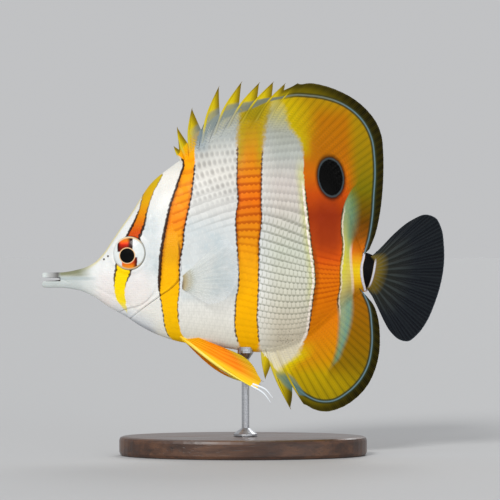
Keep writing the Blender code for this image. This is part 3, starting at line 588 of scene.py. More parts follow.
def eye_ball(name, sign, grow, segments=64, rings=40):
    ball, at = globe(name, segments, rings)
    reach = np.where(at[:, 2] > 0, EYE_BULGE, EYE_DEPTH) + grow
    at = at * np.stack([np.full(len(at), EYE_RADIUS + grow)] * 2 + [reach], axis=1) * MM
    moved = np.c_[at, np.ones(len(at))] @ np.array(eye_turn(sign)).T
    put_points(ball, moved[:, :3])
    outward(ball)
    return ball


def make_eye(side, sign, material):
    """Eyeball with a raised cornea over the pupil; iris and pupil are in its material."""
    ball = eye_ball(side + "_eye", sign, 0.0, 96, 64)
    smoothed(ball, 80)
    finished(ball, material, ("eye_" + side,))


# Fins

def ray_ridge(phase, out):
    """A ray's height across its own panel, which parts in two and then in four on the way out."""
    def crest(count):
        return np.clip(np.cos((phase - 0.5) * 2 * np.pi * count) * (-1) ** (count - 1), 0, 1) ** 1.5

    first, second = eased(out, 0.35, 0.5), eased(out, 0.62, 0.78)
    return crest(1) * (1 - first) + 0.7 * crest(2) * first * (1 - second) + 0.45 * crest(4) * second


def fin_columns(spines, root, margin, rays):
    """Root, end and ray number of every column of a fin, its spiny part first."""
    starts, ends, number = [], [], []
    for k, (spine, after) in enumerate(zip(spines, spines[1:])):
        a, b, low, next_root, high = (np.array(point, float) for point in (*spine, *after[:2]))
        down = low - b
        lobe = b * 0.5 + low * 0.5 + 0.015 * np.array([down[1], -down[0]])
        rim = smooth_line([b * 0.97 + a * 0.03, lobe, low], NOTCH_POINTS)
        for j in range(PANEL_COLUMNS):
            t = j / PANEL_COLUMNS
            starts.append(a * (1 - t) + next_root * t)
            if t < NOTCH_SHARE:
                ends.append(rim[round(t / NOTCH_SHARE * (NOTCH_POINTS - 1))])
            else:
                share = (t - NOTCH_SHARE) / (1 - NOTCH_SHARE)
                ends.append(low * (1 - share) + (high * 0.97 + next_root * 0.03) * share)
            number.append(k + t)
    count = rays * RAY_COLUMNS + 1
    starts += list(smooth_line([spines[-1][0], *root], count))
    ends += list(smooth_line([spines[-1][1], *margin], count))
    number += [len(spines) - 1 + j / RAY_COLUMNS for j in range(count)]
    return np.array(starts), np.array(ends), np.array(number)


class MiddleFin:
    """The form of an unpaired fin, read by ray number and by the share of the way out along it."""

    def __init__(self, name, spines, root, margin, rays, bury, bow, blue_line):
        self.name, self.spines, self.bury, self.bow, self.blue_line = name, spines, bury, bow, blue_line
        self.soft_from = len(spines) - 1
        starts, ends, self.number = fin_columns(spines, root, margin, rays)
        run = ends - starts
        length = np.linalg.norm(run, axis=1)
        self.starts, self.ends = starts - run / length[:, None] * bury, ends
        self.length = length + bury

    def read(self, values, number):
        return np.interp(number, self.number, values)

    def at(self, number, reach):
        """Place, half thickness and distance to the margin, in millimetres."""
        x0, z0, x1, z1 = (self.read(axis, number) for axis in (*self.starts.T, *self.ends.T))
        arch = self.bow * 4 * reach * (1 - reach) * eased(-number, -self.soft_from - 6, -self.soft_from)
        x = x0 + (x1 - x0) * reach - arch * (z1 - z0)
        z = z0 + (z1 - z0) * reach + arch * (x1 - x0)
        length = self.read(self.length, number)
        ridge = np.where(number < self.soft_from, 0.0, ray_ridge(number % 1.0, reach))
        to_rim = (1 - reach) * length
        fleshy = np.clip(1 - (reach * length - self.bury) / (0.55 * (length - self.bury)), 0, 1)
        half = 0.15 + 0.33 * fleshy**1.3 + 0.07 * ridge * (1 - 0.5 * reach)
        half = half * (0.35 + 0.65 * eased(to_rim, 0, 0.8))
        body = flank(x, z)
        half = np.maximum(body, half) + fillet(body, half, 0.9, 0.25)
        sunk = body - 0.16 * eased(body, 1.2, 2.0) - 0.3 * (body - 1.6)
        half = np.where(body > 1.6, np.minimum(half, sunk), half)
        return x, z, np.maximum(half, 0.06), to_rim

    def blue(self, x, z):
        """Distance to the fin's blue line, positive outside it."""
        return np.clip(line_distance(x, z, self.blue_line), -20, 20)

    def sheet(self, rows):
        """The fin's membrane and rays as one thickened sheet."""
        sheet, column, row = flat_grid(self.name + "_fin", len(self.number), rows)
        out, number = row / (rows - 1), self.number[column]
        spiny = number < self.soft_from
        ridge = np.where(spiny, 1.0, ray_ridge(number % 1.0, out))
        reach = out + 0.22 * (ridge - 1) * eased(out, 0.9, 1) / self.length[column]
        x, z, half, to_rim = self.at(number, reach)
        keep(sheet, ray=number, out=out, rim=to_rim, blue=self.blue(x, z), spiny=spiny)
        put_points(sheet, seen(x, np.zeros(len(x)), z))
        thickened(sheet, 2 * half)
        return sheet

    def rods(self, radius):
        """The fin's hard spines."""
        rods = []
        for k, (root, tip, _) in enumerate(self.spines):
            a, b = np.array(root, float), np.array(tip, float)
            run = b - a
            x, z = smooth_line([a, (a + b) / 2 + self.bow * np.array([-run[1], run[0]]), b], SPINE_RINGS).T
            share = np.linspace(0, 1, SPINE_RINGS)
            slender = 0.86 if k in (0, 8) else 1
            radii = radius * (1 - share) ** 0.55 * slender + 0.05
            path = np.stack([x, np.zeros(SPINE_RINGS), z], axis=1)
            rod = tube(f"{self.name}_spine_{k}", path, radii)
            x, _, z = outline_points(rod)
            keep(rod, ray=k, out=np.clip((z - a[1]) / (b[1] - a[1]), 0, 1), rim=3.0, blue=self.blue(x, z),
                 spiny=2.0)
            rods.append(rod)
        return rods

    def scales(self, plate, material, replaced, spacing, reach_share):
        """Small scales that run from the body out along the rays, and thin out."""
        along, across, up = (axis[None, :] for axis in plate[0].T)
        rng = np.random.default_rng(11)
        numbers = np.linspace(self.number[0] + 0.15, self.number[-1] - 0.1, 600)
        x, z, _, _ = self.at(numbers, np.full(600, 0.3))
        run = np.concatenate([[0], np.cumsum(np.hypot(np.diff(x), np.diff(z)))])
        columns = np.interp(np.arange(spacing / 2, run[-1], spacing), run, numbers)
        spots = []
        for k, number in enumerate(columns):
            length = float(self.read(self.length, number))
            here = self.bury - 2.2 + (0.5 if k % 2 else 0) * spacing
            last = self.bury + reach_share * (length - self.bury)
            while here < last:
                share = (here - self.bury) / (last - self.bury)
                if share < 0.75 or rng.random() > (share - 0.75) / 0.25:
                    spots.append((number, here / length, 1 - 0.3 * np.clip(share, 0, 1), share))
                here += spacing * (0.86 - 0.16 * np.clip(share, 0, 1))
        number, reach, size, share = (np.array(values)[:, None] for values in zip(*spots))
        length = self.read(self.length, number)
        x0, z0, _, _ = self.at(number - 0.02, reach)
        x1, z1, _, _ = self.at(number + 0.02, reach)
        per_number = np.hypot(x1 - x0, z1 - z0) / 0.04
        at_reach = reach + (along - 0.5) * 1.75 * spacing * size / length
        at_number = number + across * 0.62 * spacing / per_number
        x, z, half, _ = self.at(at_number, np.clip(at_reach, 0, 0.98))
        lift = -0.10 + 0.15 * along + 0.3 * up - 0.05 * np.clip(share, 0, 1)
        roots = np.concatenate([0.96 * number / self.number[-1], 0.96 * reach], axis=1) + 0.02
        chance = rng.random(len(number))
        for side, sign in SIDES:
            places = seen(x, sign * (half + lift), z)
            coat = joined_plates(f"{self.name}_scales_{side}", plate, places, chance, roots)
            finished(coat, material, replaced)


def fillet(body, half, soft, depth):
    """What fills the corner where a fin's half width runs into the body's."""
    mix = np.maximum(soft - np.abs(body - half), 0) / soft
    return mix * mix * soft * depth


def make_dorsal(material, plate, scaly):
    form = MiddleFin("dorsal", DORSAL_SPINES, DORSAL_ROOT, DORSAL_MARGIN, DORSAL_RAYS, bury=5.0, bow=0.055,
                     blue_line=DORSAL_LINE)
    nodes = ("dorsal_fin_spiny", "dorsal_fin_soft")
    finished(joined(form.sheet(rows=96), *form.rods(radius=0.72)), material, nodes)
    form.scales(plate, scaly, nodes, spacing=1.45, reach_share=0.5)


def make_anal(material, plate, scaly):
    form = MiddleFin("anal", ANAL_SPINES, ANAL_ROOT, ANAL_MARGIN, ANAL_RAYS, bury=4.5, bow=-0.03,
                     blue_line=ANAL_LINE)
    nodes = ("anal_fin_spiny", "anal_fin_soft")
    finished(joined(form.sheet(rows=84), *form.rods(radius=0.8)), material, nodes)
    form.scales(plate, scaly, nodes, spacing=1.35, reach_share=0.42)


def free_fin(name, root, margin, rays, pose, per_ray, rows, root_half, rim_half, ridge_half):
    """A rayed fin that stands free of the middle plane, laid out by `pose`."""
    count = rays * per_ray + 1
    starts, ends = smooth_line(root, count), smooth_line(margin, count)
    sheet, column, row = flat_grid(name, count, rows)
    out, number = row / (rows - 1), column / per_ray
    ridge = ray_ridge(number % 1.0, out)
    length = np.linalg.norm(ends - starts, axis=1)[column]
    reach = out + 0.2 * (ridge - 1) * eased(out, 0.9, 1) / length
    place = starts[column] * (1 - reach)[:, None] + ends[column] * reach[:, None]
    half = rim_half + (root_half - rim_half) * (1 - out) ** 2 + ridge_half * ridge * (1 - 0.6 * out)
    keep(sheet, ray=number, out=out, rim=(1 - reach) * length, across=column / (count - 1))
    put_points(sheet, seen(*pose(*place.T, reach * length)))
    thickened(sheet, 2 * half)
    return sheet


def make_caudal(material):
    """Tail fin: fleshy where its rays leave the tail's end, then thin and clear, painted dark with painted
    shade.
    """
    def flat(x, z, reach):
        return x, np.zeros(len(x)), z

    fin = free_fin("tail_fin", CAUDAL_ROOT, CAUDAL_MARGIN, CAUDAL_RAYS, flat, per_ray=10, rows=70,
                   root_half=0.5, rim_half=0.14, ridge_half=0.13)
    x, y, z = outline_points(fin)
    body, half = flank(x, z), np.abs(y)
    joint = np.maximum(body + 0.05 - 0.35 * eased(body, 1.2, 2.2), half) + fillet(body, half, 0.8, 0.2)
    put_points(fin, seen(x, np.sign(y) * np.where(body > 0.1, joint, half), z))
    finished(fin, material, ("caudal_fin",))


def make_pectoral(side, sign, material):
    root = float(flank(*PECTORAL_ROOT[0])) - PECTORAL_SINK

    def pose(x, z, reach):
        return x, sign * (root + PECTORAL_SPLAY * reach - PECTORAL_CURVE * reach * reach), z

    fin = free_fin(side + "_pectoral", PECTORAL_ROOT, PECTORAL_MARGIN, PECTORAL_RAYS, pose, per_ray=8,
                   rows=60, root_half=0.5, rim_half=0.1, ridge_half=0.12)
    finished(fin, material, ("pectoral_fin_" + side,))


def make_pelvic(side, sign, material):
    drop, splay, curl = PELVIC_POSE[side]
    drop = math.radians(drop)
    hinge_x, hinge_z = PELVIC_ROOT[0]

    def spread(x, z):
        """Share of the fin's length from its hinge, and how far out from the middle the fin is."""
        share = np.hypot(x - hinge_x, z - hinge_z) / PELVIC_LENGTH
        return share, PELVIC_ROOT_OUT + splay * PELVIC_LENGTH * share

    def pose(x, z, reach):
        share, out = spread(x, z)
        x, z = x - hinge_x, z - hinge_z
        return (hinge_x + x * math.cos(drop) + z * math.sin(drop), sign * out,
                hinge_z + z * math.cos(drop) - x * math.sin(drop) + curl * share**3)

    fin = free_fin(side + "_pelvic", PELVIC_ROOT, PELVIC_MARGIN, PELVIC_RAYS, pose, per_ray=12, rows=60,
                   root_half=0.6, rim_half=0.2, ridge_half=0.18)
    rods = []
    for k, (line, radius) in enumerate(zip([PELVIC_SPINE, *PELVIC_FILAMENTS], (0.8, 0.46, 0.46))):
        flat = smooth_line(line, 24)
        share = np.linspace(0, 1, 24)
        rod = tube(f"pelvic_{side}_rod_{k}", np.stack(pose(*flat.T, 0), axis=1),
                   radius * (1 - 0.85 * share**1.6) + 0.03)
        x = outline_points(rod)[0]
        out = np.clip((x - flat[0, 0]) / (flat[-1, 0] - flat[0, 0]), 0, 1)
        keep(rod, ray=-1.0 if k == 0 else -2.0, out=out, rim=2.0, across=-0.1 if k == 0 else -0.5)
        rods.append(rod)
    fin = joined(fin, *rods)
    x, y, z = outline_points(fin)
    keep(fin, inner=np.abs(y) < spread(x, z)[1])
    finished(fin, material, ("pelvic_fin_" + side,))


# Scales

def row_slope(x, z):
    """Slope of the scale rows at a place, from those of the places around it."""
    near = [np.exp(-((x - a) / 8.0) ** 2 - ((z - b) / 5.5) ** 2) + 1e-9 for a, b, _ in ROW_SLOPES]
    return sum(w * math.tan(math.radians(s)) for w, (_, _, s) in zip(near, ROW_SLOPES)) / sum(near)


def girth_tables():
    """The trunk's surface by station and share of the girth, and how far the girth reaches each way."""
    around = np.linspace(-math.pi / 2, math.pi / 2, 721)
    place = np.zeros((len(STATIONS), len(SHARES), 2))
    reach = np.zeros((len(STATIONS), 2))
    for i, x in enumerate(STATIONS):
        half, z = section(np.full(len(around), x), around)
        run = np.concatenate([[0], np.cumsum(np.hypot(np.diff(half), np.diff(z)))])
        run -= run[len(around) // 2]
        reach[i] = run[0], run[-1]
        wanted = np.where(SHARES < 0, -SHARES * run[0], SHARES * run[-1])
        place[i, :, 0], place[i, :, 1] = np.interp(wanted, run, half), np.interp(wanted, run, z)
    return place, reach


def table_read(table, x, share):
    i = np.clip((x - STATIONS[0]) / (STATIONS[1] - STATIONS[0]), 0, len(STATIONS) - 1.001)
    j = np.clip((share - SHARES[0]) / (SHARES[1] - SHARES[0]), 0, len(SHARES) - 1.001)
    i0, j0 = i.astype(int), j.astype(int)
    a, b = (i - i0)[..., None], (j - j0)[..., None]
    return ((1 - a) * (1 - b) * table[i0, j0] + a * (1 - b) * table[i0 + 1, j0]
            + (1 - a) * b * table[i0, j0 + 1] + a * b * table[i0 + 1, j0 + 1])


def along_row(at, way):
    """A step of this length, in millimetres, along the row at each place."""
    slope = row_slope(at[:, 0], at[:, 1])
    return way * np.stack([np.ones(len(at)), slope], axis=1) / np.hypot(1, slope)[:, None]


def scale_rows():
    """Centres, directions, lengths and widths of the body's scales in its side view."""
    seeds, z = [], LOWEST_ROW
    while z < HIGHEST_ROW:
        seeds.append((SEED_X, z))
        z += float(smooth_through(ROW_SPACING, z))
    step, seeds = 0.25, np.array(seeds)
    ahead, back = [seeds], [seeds]
    for track, way, count in ((ahead, -step, 150), (back, step, 250)):
        for _ in range(count):
            middle = track[-1] + along_row(track[-1], 0.5 * way)
            track.append(track[-1] + along_row(middle, way))
    rows = np.stack(ahead[::-1] + back[1:], axis=1)
    run = (np.arange(rows.shape[1]) - len(ahead) + 1) * step
    marks = [0.0]
    for way, end in ((1, run[-1] - 3), (-1, run[0] + 3)):
        here = 0.0
        while here * way < end * way:
            here += way * float(smooth_through(ROW_STEP, here + SEED_X))
            marks.append(here)
    marks.sort()
    found = []
    for k in range(1, len(seeds) - 1):
        for mark, after in zip(marks[1:-1], marks[2:]):
            i = ((mark if k % 2 else (mark + after) / 2) - run[0]) / step
            i0 = int(i)
            centre = rows[k, i0] * (1 - i + i0) + rows[k, i0 + 1] * (i - i0)
            tangent = rows[k, i0 + 1] - rows[k, i0]
            tangent = tangent / np.linalg.norm(tangent)
            normal = np.array([-tangent[1], tangent[0]])
            above, below = rows[k + 1, i0] - centre, centre - rows[k - 1, i0]
            width = 0.5 * (abs(above @ normal) + abs(below @ normal))
            found.append((*centre, *tangent, after - mark, width))
    return np.array(found)


def scale_plate():
    """One scale as points (along, across, height) and faces: a closed plate with a rounded rear edge."""
    nothing_selected()
    bpy.ops.mesh.primitive_grid_add(x_subdivisions=5, y_subdivisions=6, size=1)
    plate = named("one_scale")
    at = points_of(plate)
    along, across = at[:, 0] + 0.5, at[:, 1] * 2
    height = 0.16 * (1 - across**2) * (0.4 + 0.6 * along) - 0.05
    put_points(plate, np.stack([along * (1 - 0.3 * np.abs(across) ** 2.6), across, height], axis=1))
    extruded(plate, (0, 0, -0.25))
    points, faces = points_of(plate), [tuple(face.vertices) for face in plate.data.polygons]
    bpy.data.objects.remove(plate, do_unlink=True)
    return points, faces


def joined_plates(name, plate, places, chance, roots):
    """Every plate as one mesh, with what its material reads and the map for its colours."""
    points, faces = plate
    count, each = places.shape[:2]
    mesh = bpy.data.meshes.new(name)
    corners, sizes = np.concatenate(faces), np.array([len(face) for face in faces])
    loops = (corners[None, :] + (np.arange(count) * each)[:, None]).ravel()
    totals = np.tile(sizes, count)
    mesh.vertices.add(count * each)
    mesh.vertices.foreach_set("co", places.reshape(-1))
    mesh.loops.add(len(loops))
    mesh.loops.foreach_set("vertex_index", loops.astype(np.int32))
    mesh.polygons.add(len(totals))
    mesh.polygons.foreach_set("loop_start", (np.cumsum(totals) - totals).astype(np.int32))
    mesh.polygons.foreach_set("loop_total", totals.astype(np.int32))
    mesh.update(calc_edges=True)
    coat = bpy.data.objects.new(name, mesh)
    bpy.context.scene.collection.objects.link(coat)
    keep(coat, along=np.tile(points[:, 0], count), across=np.tile(points[:, 1], count),
         chance=np.repeat(chance, each))
    local = np.stack([points[:, 0] - 0.5, points[:, 1] * 0.5], axis=1) * 0.003
    spots = (roots[:, None, :] + local[None, :, :]).reshape(-1, 2)
    layer = mesh.uv_layers.new(name="OFBake")
    layer.uv.foreach_set("vector", spots[loops].ravel().astype(np.float32))
    mesh.shade_smooth()
    mesh.set_sharp_from_angle(angle=math.radians(40))
    outward(coat)
    return coat


def make_body_scales(plate, material):
    """Scales over each flank, from behind the gill cover to the tail, laid in the rows."""
    along, across, up = (axis[None, :] for axis in plate[0].T)
    place, reach = girth_tables()
    rows = scale_rows()
    x, z = rows[:, :2].T
    top, bottom, middle = levels(x)
    rise = np.where(z > middle, (z - middle) / (top - middle), (z - middle) / (middle - bottom))
    inside = (x > coat_front(z)) & (x < COAT_REAR) & (rise < 0.985) & (rise > -0.995)
    rise = rise[inside][:, None]
    x, z, ahead, climb, step, width = (column[:, None] for column in rows[inside].T)

    # Where the centre lies on the girth
    fine = np.linspace(0, 1, 25)[None, :] * np.arcsin(np.clip(rise, -1, 1))
    half, height = section(np.repeat(x, 25, axis=1), fine)
    girth = np.hypot(np.diff(half, axis=1), np.diff(height, axis=1)).sum(axis=1)[:, None] * np.sign(rise)
    steep = np.clip(np.hypot(1, (flank(x, z + 0.1) - flank(x, z - 0.1)) / 0.2), 1, 1.8)

    length = 1.95 * step * (1 - 0.25 * eased(np.abs(rise), 0.9, 1.0))
    wide = 1.24 * width * steep
    rng = np.random.default_rng(7)
    tilt = rng.normal(0, 1, len(x))[:, None]
    u, v = along * length - 0.55 * length, across * wide / 2
    at_x, at_g = x + u * ahead - v * climb, girth + (u * climb + v * ahead)
    front = 0.3 * eased(-x, -4, 4)
    calm = 1 - front * eased(-z, -30, -18) - front * eased(-z, -4, 10) - 0.4 * eased(x, 24, 32)
    lift = -0.21 + 0.17 * calm * along * (0.97 + 0.06 * tilt) + up * 0.34 * calm + 0.09 * (1 - calm)
    fade_in = eased(x - coat_front(z), -0.5, 3.0) * eased(z, 12, 20) + eased(-z, -20, -12)
    lift = (lift - 0.1 * (1 - np.minimum(fade_in, 1))) * (1 - 0.6 * eased(x, 40, 52))

    # Past the middle line a plate turns back on the other side
    low, high = (np.interp(at_x, STATIONS, column) for column in reach.T)
    share = np.where(at_g < 0, -at_g / low, at_g / high)
    flip = np.where(np.abs(share) > 1, -1.0, 1.0)
    share = np.where(share > 1, 2 - share, np.where(share < -1, -2 - share, share))
    spot = table_read(place, at_x, share)
    on, off = (table_read(place, at_x, np.clip(share + way, -1, 1)) for way in (0.01, -0.01))
    fore, aft = (table_read(place, at_x + way, share) for way in (0.5, -0.5))
    run_g = np.concatenate([np.zeros_like(at_x)[..., None], on - off], axis=-1)
    run_x = np.concatenate([np.ones_like(at_x)[..., None], fore - aft], axis=-1)
    normal = np.cross(run_x, run_g)
    normal /= np.linalg.norm(normal, axis=-1)[..., None]
    normal *= np.where(normal[..., 1] < 0, -1, 1)[..., None]
    y = (spot[..., 0] + normal[..., 1] * lift) * flip
    out_x, out_z = at_x + normal[..., 0] * lift, spot[..., 1] + normal[..., 2] * lift
    roots = np.concatenate([(x + 30) / 90 * 0.96 + 0.02, np.interp(girth, [-50, 70], [0.02, 0.98])], axis=1)
    chance = rng.random(len(x))
    for side, sign in SIDES:
        coat = joined_plates("scales_" + side, plate, seen(out_x, sign * y, out_z), chance, roots)
        finished(coat, material, ("trunk", "tail_base"))


# Materials

# The field that the markings' edges are drawn in, in millimetres
LOWEST, TALL = -60.0, 150.0
FOREMOST, LONG = -90.0, 180.0
# The beads along the dark lines, and the eye spot's middle and half sizes
BEAD_SPACING = 2.1
DARK_LINE = (46, 19, 6)
EYE_SPOT, EYE_SPOT_HALF = (36.8, 42.9), (4.85, 7.35)


def tone(red, green, blue):
    """A colour as seen on a screen, 0 to 255, made linear."""
    return tuple(c / 12.92 if c <= 0.04045 else ((c + 0.055) / 1.055) ** 2.4
                 for c in (red / 255, green / 255, blue / 255)) + (1.0,)


class Field:
    """What a node gives over the surface, to be reckoned with: each sum adds a node to its tree."""

    def __init__(self, socket):
        self.socket = socket

    def math(self, operation, other=0.0):
        return reckoned(operation, self, other)

    def __add__(self, other):
        return reckoned("ADD", self, other)

    def __sub__(self, other):
        return reckoned("SUBTRACT", self, other)

    def __rsub__(self, other):
        return reckoned("SUBTRACT", other, self)

    def __mul__(self, other):
        return reckoned("MULTIPLY", self, other)

    __radd__, __rmul__ = __add__, __mul__

    def __truediv__(self, other):
        return reckoned("DIVIDE", self, other)

    def __rtruediv__(self, other):
        return reckoned("DIVIDE", other, self)

    def __neg__(self):
        return self * -1.0

    def __abs__(self):
        return self.math("ABSOLUTE")

    def lay(self, share, over, mode="MIX"):
        """Blends another colour over this one."""
        self.socket = blend(share, self, over, mode).socket


def feed(node, inputs):
    """Gives a node's inputs their numbers or fields."""
    for key, value in inputs.items() if isinstance(inputs, dict) else enumerate(inputs):
        if isinstance(value, Field):
            node.id_data.links.new(value.socket, node.inputs[key])
        else:
            node.inputs[key].default_value = value


def field(tree, kind, inputs=(), output=0, **settings):
    """The field that a new node gives."""
    node = tree.nodes.new(kind)
    for key, value in settings.items():
        setattr(node, key, value)
    feed(node, inputs)
    return Field(node.outputs[output])


def reckoned(operation, *values):
    tree = next(value.socket.id_data for value in values if isinstance(value, Field))
    return field(tree, "ShaderNodeMath", values, operation=operation)


def clamped(value):
    value.socket.node.use_clamp = True
    return value


def highest(first, *others):
    for other in others:
        first = reckoned("MAXIMUM", first, other)
    return first


def distance(across, up):
    return (across * across + up * up).math("SQRT")


def step(value, low, high, start=0.0, end=1.0):
    """A soft step from `start`, below `low`, to `end`, above `high`."""
    return field(value.socket.id_data, "ShaderNodeMapRange", (value, low, high, start, end),
                 interpolation_type="SMOOTHSTEP")


def fall(value, low, high):
    return step(value, low, high, 1.0, 0.0)


def blend(share, under, over, mode="MIX"):
    """One colour over another; three numbers are a colour as seen on a screen."""
    under, over = (tone(*shade) if isinstance(shade, tuple) else shade for shade in (under, over))
    return field(share.socket.id_data, "ShaderNodeMix", {0: share, 6: under, 7: over}, 2,
                 data_type="RGBA", blend_type=mode, clamp_factor=True)


def ramp(value, *stops):
    """Colours by value, from stops of a place and the colour's three numbers."""
    made = field(value.socket.id_data, "ShaderNodeValToRGB", (value,))
    elements = made.socket.node.color_ramp.elements
    while len(elements) < len(stops):
        elements.new(0.5)
    for element, stop in zip(elements, stops):
        element.position = stop[0]
    for element, stop in zip(elements, stops):
        element.color = tone(*stop[1:])
    return made


def curve(value, spots):
    """The free curve through spots, read at a value; both run from 0 to 1."""
    made = field(value.socket.id_data, "ShaderNodeFloatCurve", {"Factor": 1.0, "Value": value})
    mapping = made.socket.node.mapping
    points = mapping.curves[0].points
    points[0].location, points[1].location = spots[0], spots[-1]
    for spot in spots[1:-1]:
        points.new(*spot)
    mapping.use_clip = False
    mapping.update()
    return made


def noise(place, scale, detail=3.0, rough=0.5):
    inputs = {"Vector": place, "Scale": scale, "Detail": detail, "Roughness": rough}
    return field(place.socket.id_data, "ShaderNodeTexNoise", inputs)


def stretched(place, *scale):
    return field(place.socket.id_data, "ShaderNodeMapping", {"Vector": place, "Scale": scale})


def read(tree, name):
    """A number kept at each point of the piece."""
    return field(tree, "ShaderNodeAttribute", (), "Fac", attribute_name=name)


def side_view(tree, centre_x=0.0, centre_z=0.0):
    """A point's own coordinates, and its x and z in the outlines' frame."""
    place = field(tree, "ShaderNodeTexCoord", (), "Object")
    x, z = (field(tree, "ShaderNodeSeparateXYZ", (place,), axis) for axis in "XZ")
    return place, x * 1000.0 - centre_x, z * 1000.0 - SNOUT_HEIGHT - centre_z


def new_group(name, inputs, outputs):
    """A tree for a group, the fields it is given, and the node that takes what it gives."""
    tree = bpy.data.node_groups.new(name, "ShaderNodeTree")
    for way, labels in (("INPUT", inputs), ("OUTPUT", outputs)):
        for label in labels:
            kind = "NodeSocketColor" if label == "Color" else "NodeSocketFloat"
            tree.interface.new_socket(name=label, in_out=way, socket_type=kind)
    source = tree.nodes.new("NodeGroupInput")
    given = {label: Field(source.outputs[label]) for label in inputs}
    return tree, given, tree.nodes.new("NodeGroupOutput")


def group(tree, shared, inputs=()):
    """The fields that a shared group gives, by name."""
    node = tree.nodes.new("ShaderNodeGroup")
    node.node_tree = shared
    feed(node, inputs)
    return {output.name: Field(output) for output in node.outputs}


def new_material(name):
    made = bpy.data.materials.new(name)
    made.use_nodes = True
    made.node_tree.nodes.clear()
    return made, made.node_tree


def surface(made, inputs, height=None, depth=0.0, strength=0.8):
    """Ends a material: what its shader takes, and relief `depth` millimetres deep."""
    tree = made.node_tree
    shader = field(tree, "ShaderNodeBsdfPrincipled", inputs)
    if height:
        relief_inputs = {"Strength": strength, "Distance": depth * MM, "Height": height}
        feed(shader.socket.node, {"Normal": field(tree, "ShaderNodeBump", relief_inputs)})
    feed(tree.nodes.new("ShaderNodeOutputMaterial"), (shader,))
    return made


class SideView:
    """The fish's side view while it is painted: its fields, its colour so far and the bands laid on it."""

    def __init__(self, tree):
        self.place, self.x, self.z = side_view(tree)
        self.height = (self.z - LOWEST) / TALL
        self.fine, self.broad = noise(self.place, 900, 4), noise(self.place, 110, 4)
        loose = step(self.z, 48, 62, 1.0, 2.6) + step(self.z, -32, -24, 1.6, 0.0)
        self.edge_x = self.x + (self.fine * 1.2 - 0.6) * loose
        self.feather = step(self.z, 48, 60, 0.25, 1.5) + step(self.z, -32, -25, 1.8, 0.0)
        self.bands = []

    def past(self, line, at=None):
        """How far a point lies behind an edge, in millimetres."""
        spots = sorted(((high - LOWEST) / TALL, (far - FOREMOST) / LONG) for far, high in line)
        edge = curve(self.height, [(0.0, spots[0][1]), *spots, (1.0, spots[-1][1])]) * LONG + FOREMOST
        return (at or self.edge_x) - edge

    def by_height(self, *stops):
        """Colours by height in millimetres."""
        return ramp(self.height, *(((high - LOWEST) / TALL, *shade) for high, *shade in sorted(stops)))

    def within(self, z_low, z_high, soft=0.5):
        """1 between two heights, and 0 above and below them."""
        return step(self.z, z_low - soft, z_low + soft) * fall(self.z, z_high - soft, z_high + soft)

    def rim(self, away, width, beads, at_height):
        """A dark line along an edge, whole where `beads` is 0 and broken into dots where it is 1."""
        wave = (self.z * (2 * math.pi / BEAD_SPACING) + self.broad * 9.0).math("SINE") * 0.5 + 0.5
        return fall(abs(away) - width * (1.0 - wave * beads), -0.2, 0.25) * at_height


def between(front, rear, soft=0.25):
    """1 behind a band's front edge and ahead of its rear one."""
    return step(front, -soft, soft) * fall(rear, -soft, soft)


def paint_ground(view):
    """Pale ground, warmer under the back and darker toward the tail, partly painted shade, with cool, rosy
    and dotted patches.
    """
    x, place = view.x, view.place
    colour = view.by_height(
        (-60, 222, 214, 190), (-30, 228, 225, 210), (-16, 232, 230, 221), (0, 230, 231, 229),
        (22, 224, 226, 225), (44, 228, 225, 217), (53, 202, 202, 196), (60, 168, 173, 170),
        (66, 156, 160, 152), (75, 170, 166, 124))
    view.colour = colour
    colour.lay(step(x, -28, -22) * view.within(6, 52, 6) * 0.12, (120, 120, 112), "MULTIPLY")
    # Toward the tail the ground turns cream and darker: partly its own colour, partly painted shade where the
    # light falls off
    cream = view.by_height(
        (-40, 212, 202, 170), (-25, 190, 178, 152), (-18, 202, 192, 168), (-8, 206, 202, 180),
        (12, 198, 202, 182), (30, 204, 196, 184), (40, 198, 188, 182), (52, 168, 174, 168),
        (62, 160, 162, 148), (69, 178, 172, 104), (75, 190, 172, 34))
    colour.lay(step(x, 4, 16) * 0.75, cream)
    mottle = step(noise(place, 130, 5, 0.6), 0.42, 0.66) * 0.6 + 0.4
    behind_head = step(x, -30, -24) * fall(x, -6, 2) * view.within(-8, 24, 4)
    cheek_blue = step(x, -43, -39.5) * fall(x, -37, -33) * view.within(2, 28, 4)
    colour.lay((behind_head + cheek_blue) * mottle * 0.75, (184, 198, 203))
    spot = view.within(54, 63, 2) * step(x, -22, -20) * fall(x, -17, -13)
    colour.lay(spot * 0.6, (135, 152, 162))
    blush = step(x, -64, -58) * fall(x, -42, -36) * view.within(-12, 3, 3) * view.broad
    colour.lay(blush * 0.5, (236, 214, 210))
    speck = step(noise(place, 1700, 2), 0.6, 0.68) * view.within(-26.5, -21.5, 1.2)
    colour.lay(speck * step(x, 12, 17) * fall(x, 24, 26) * 0.75, (92, 70, 60))


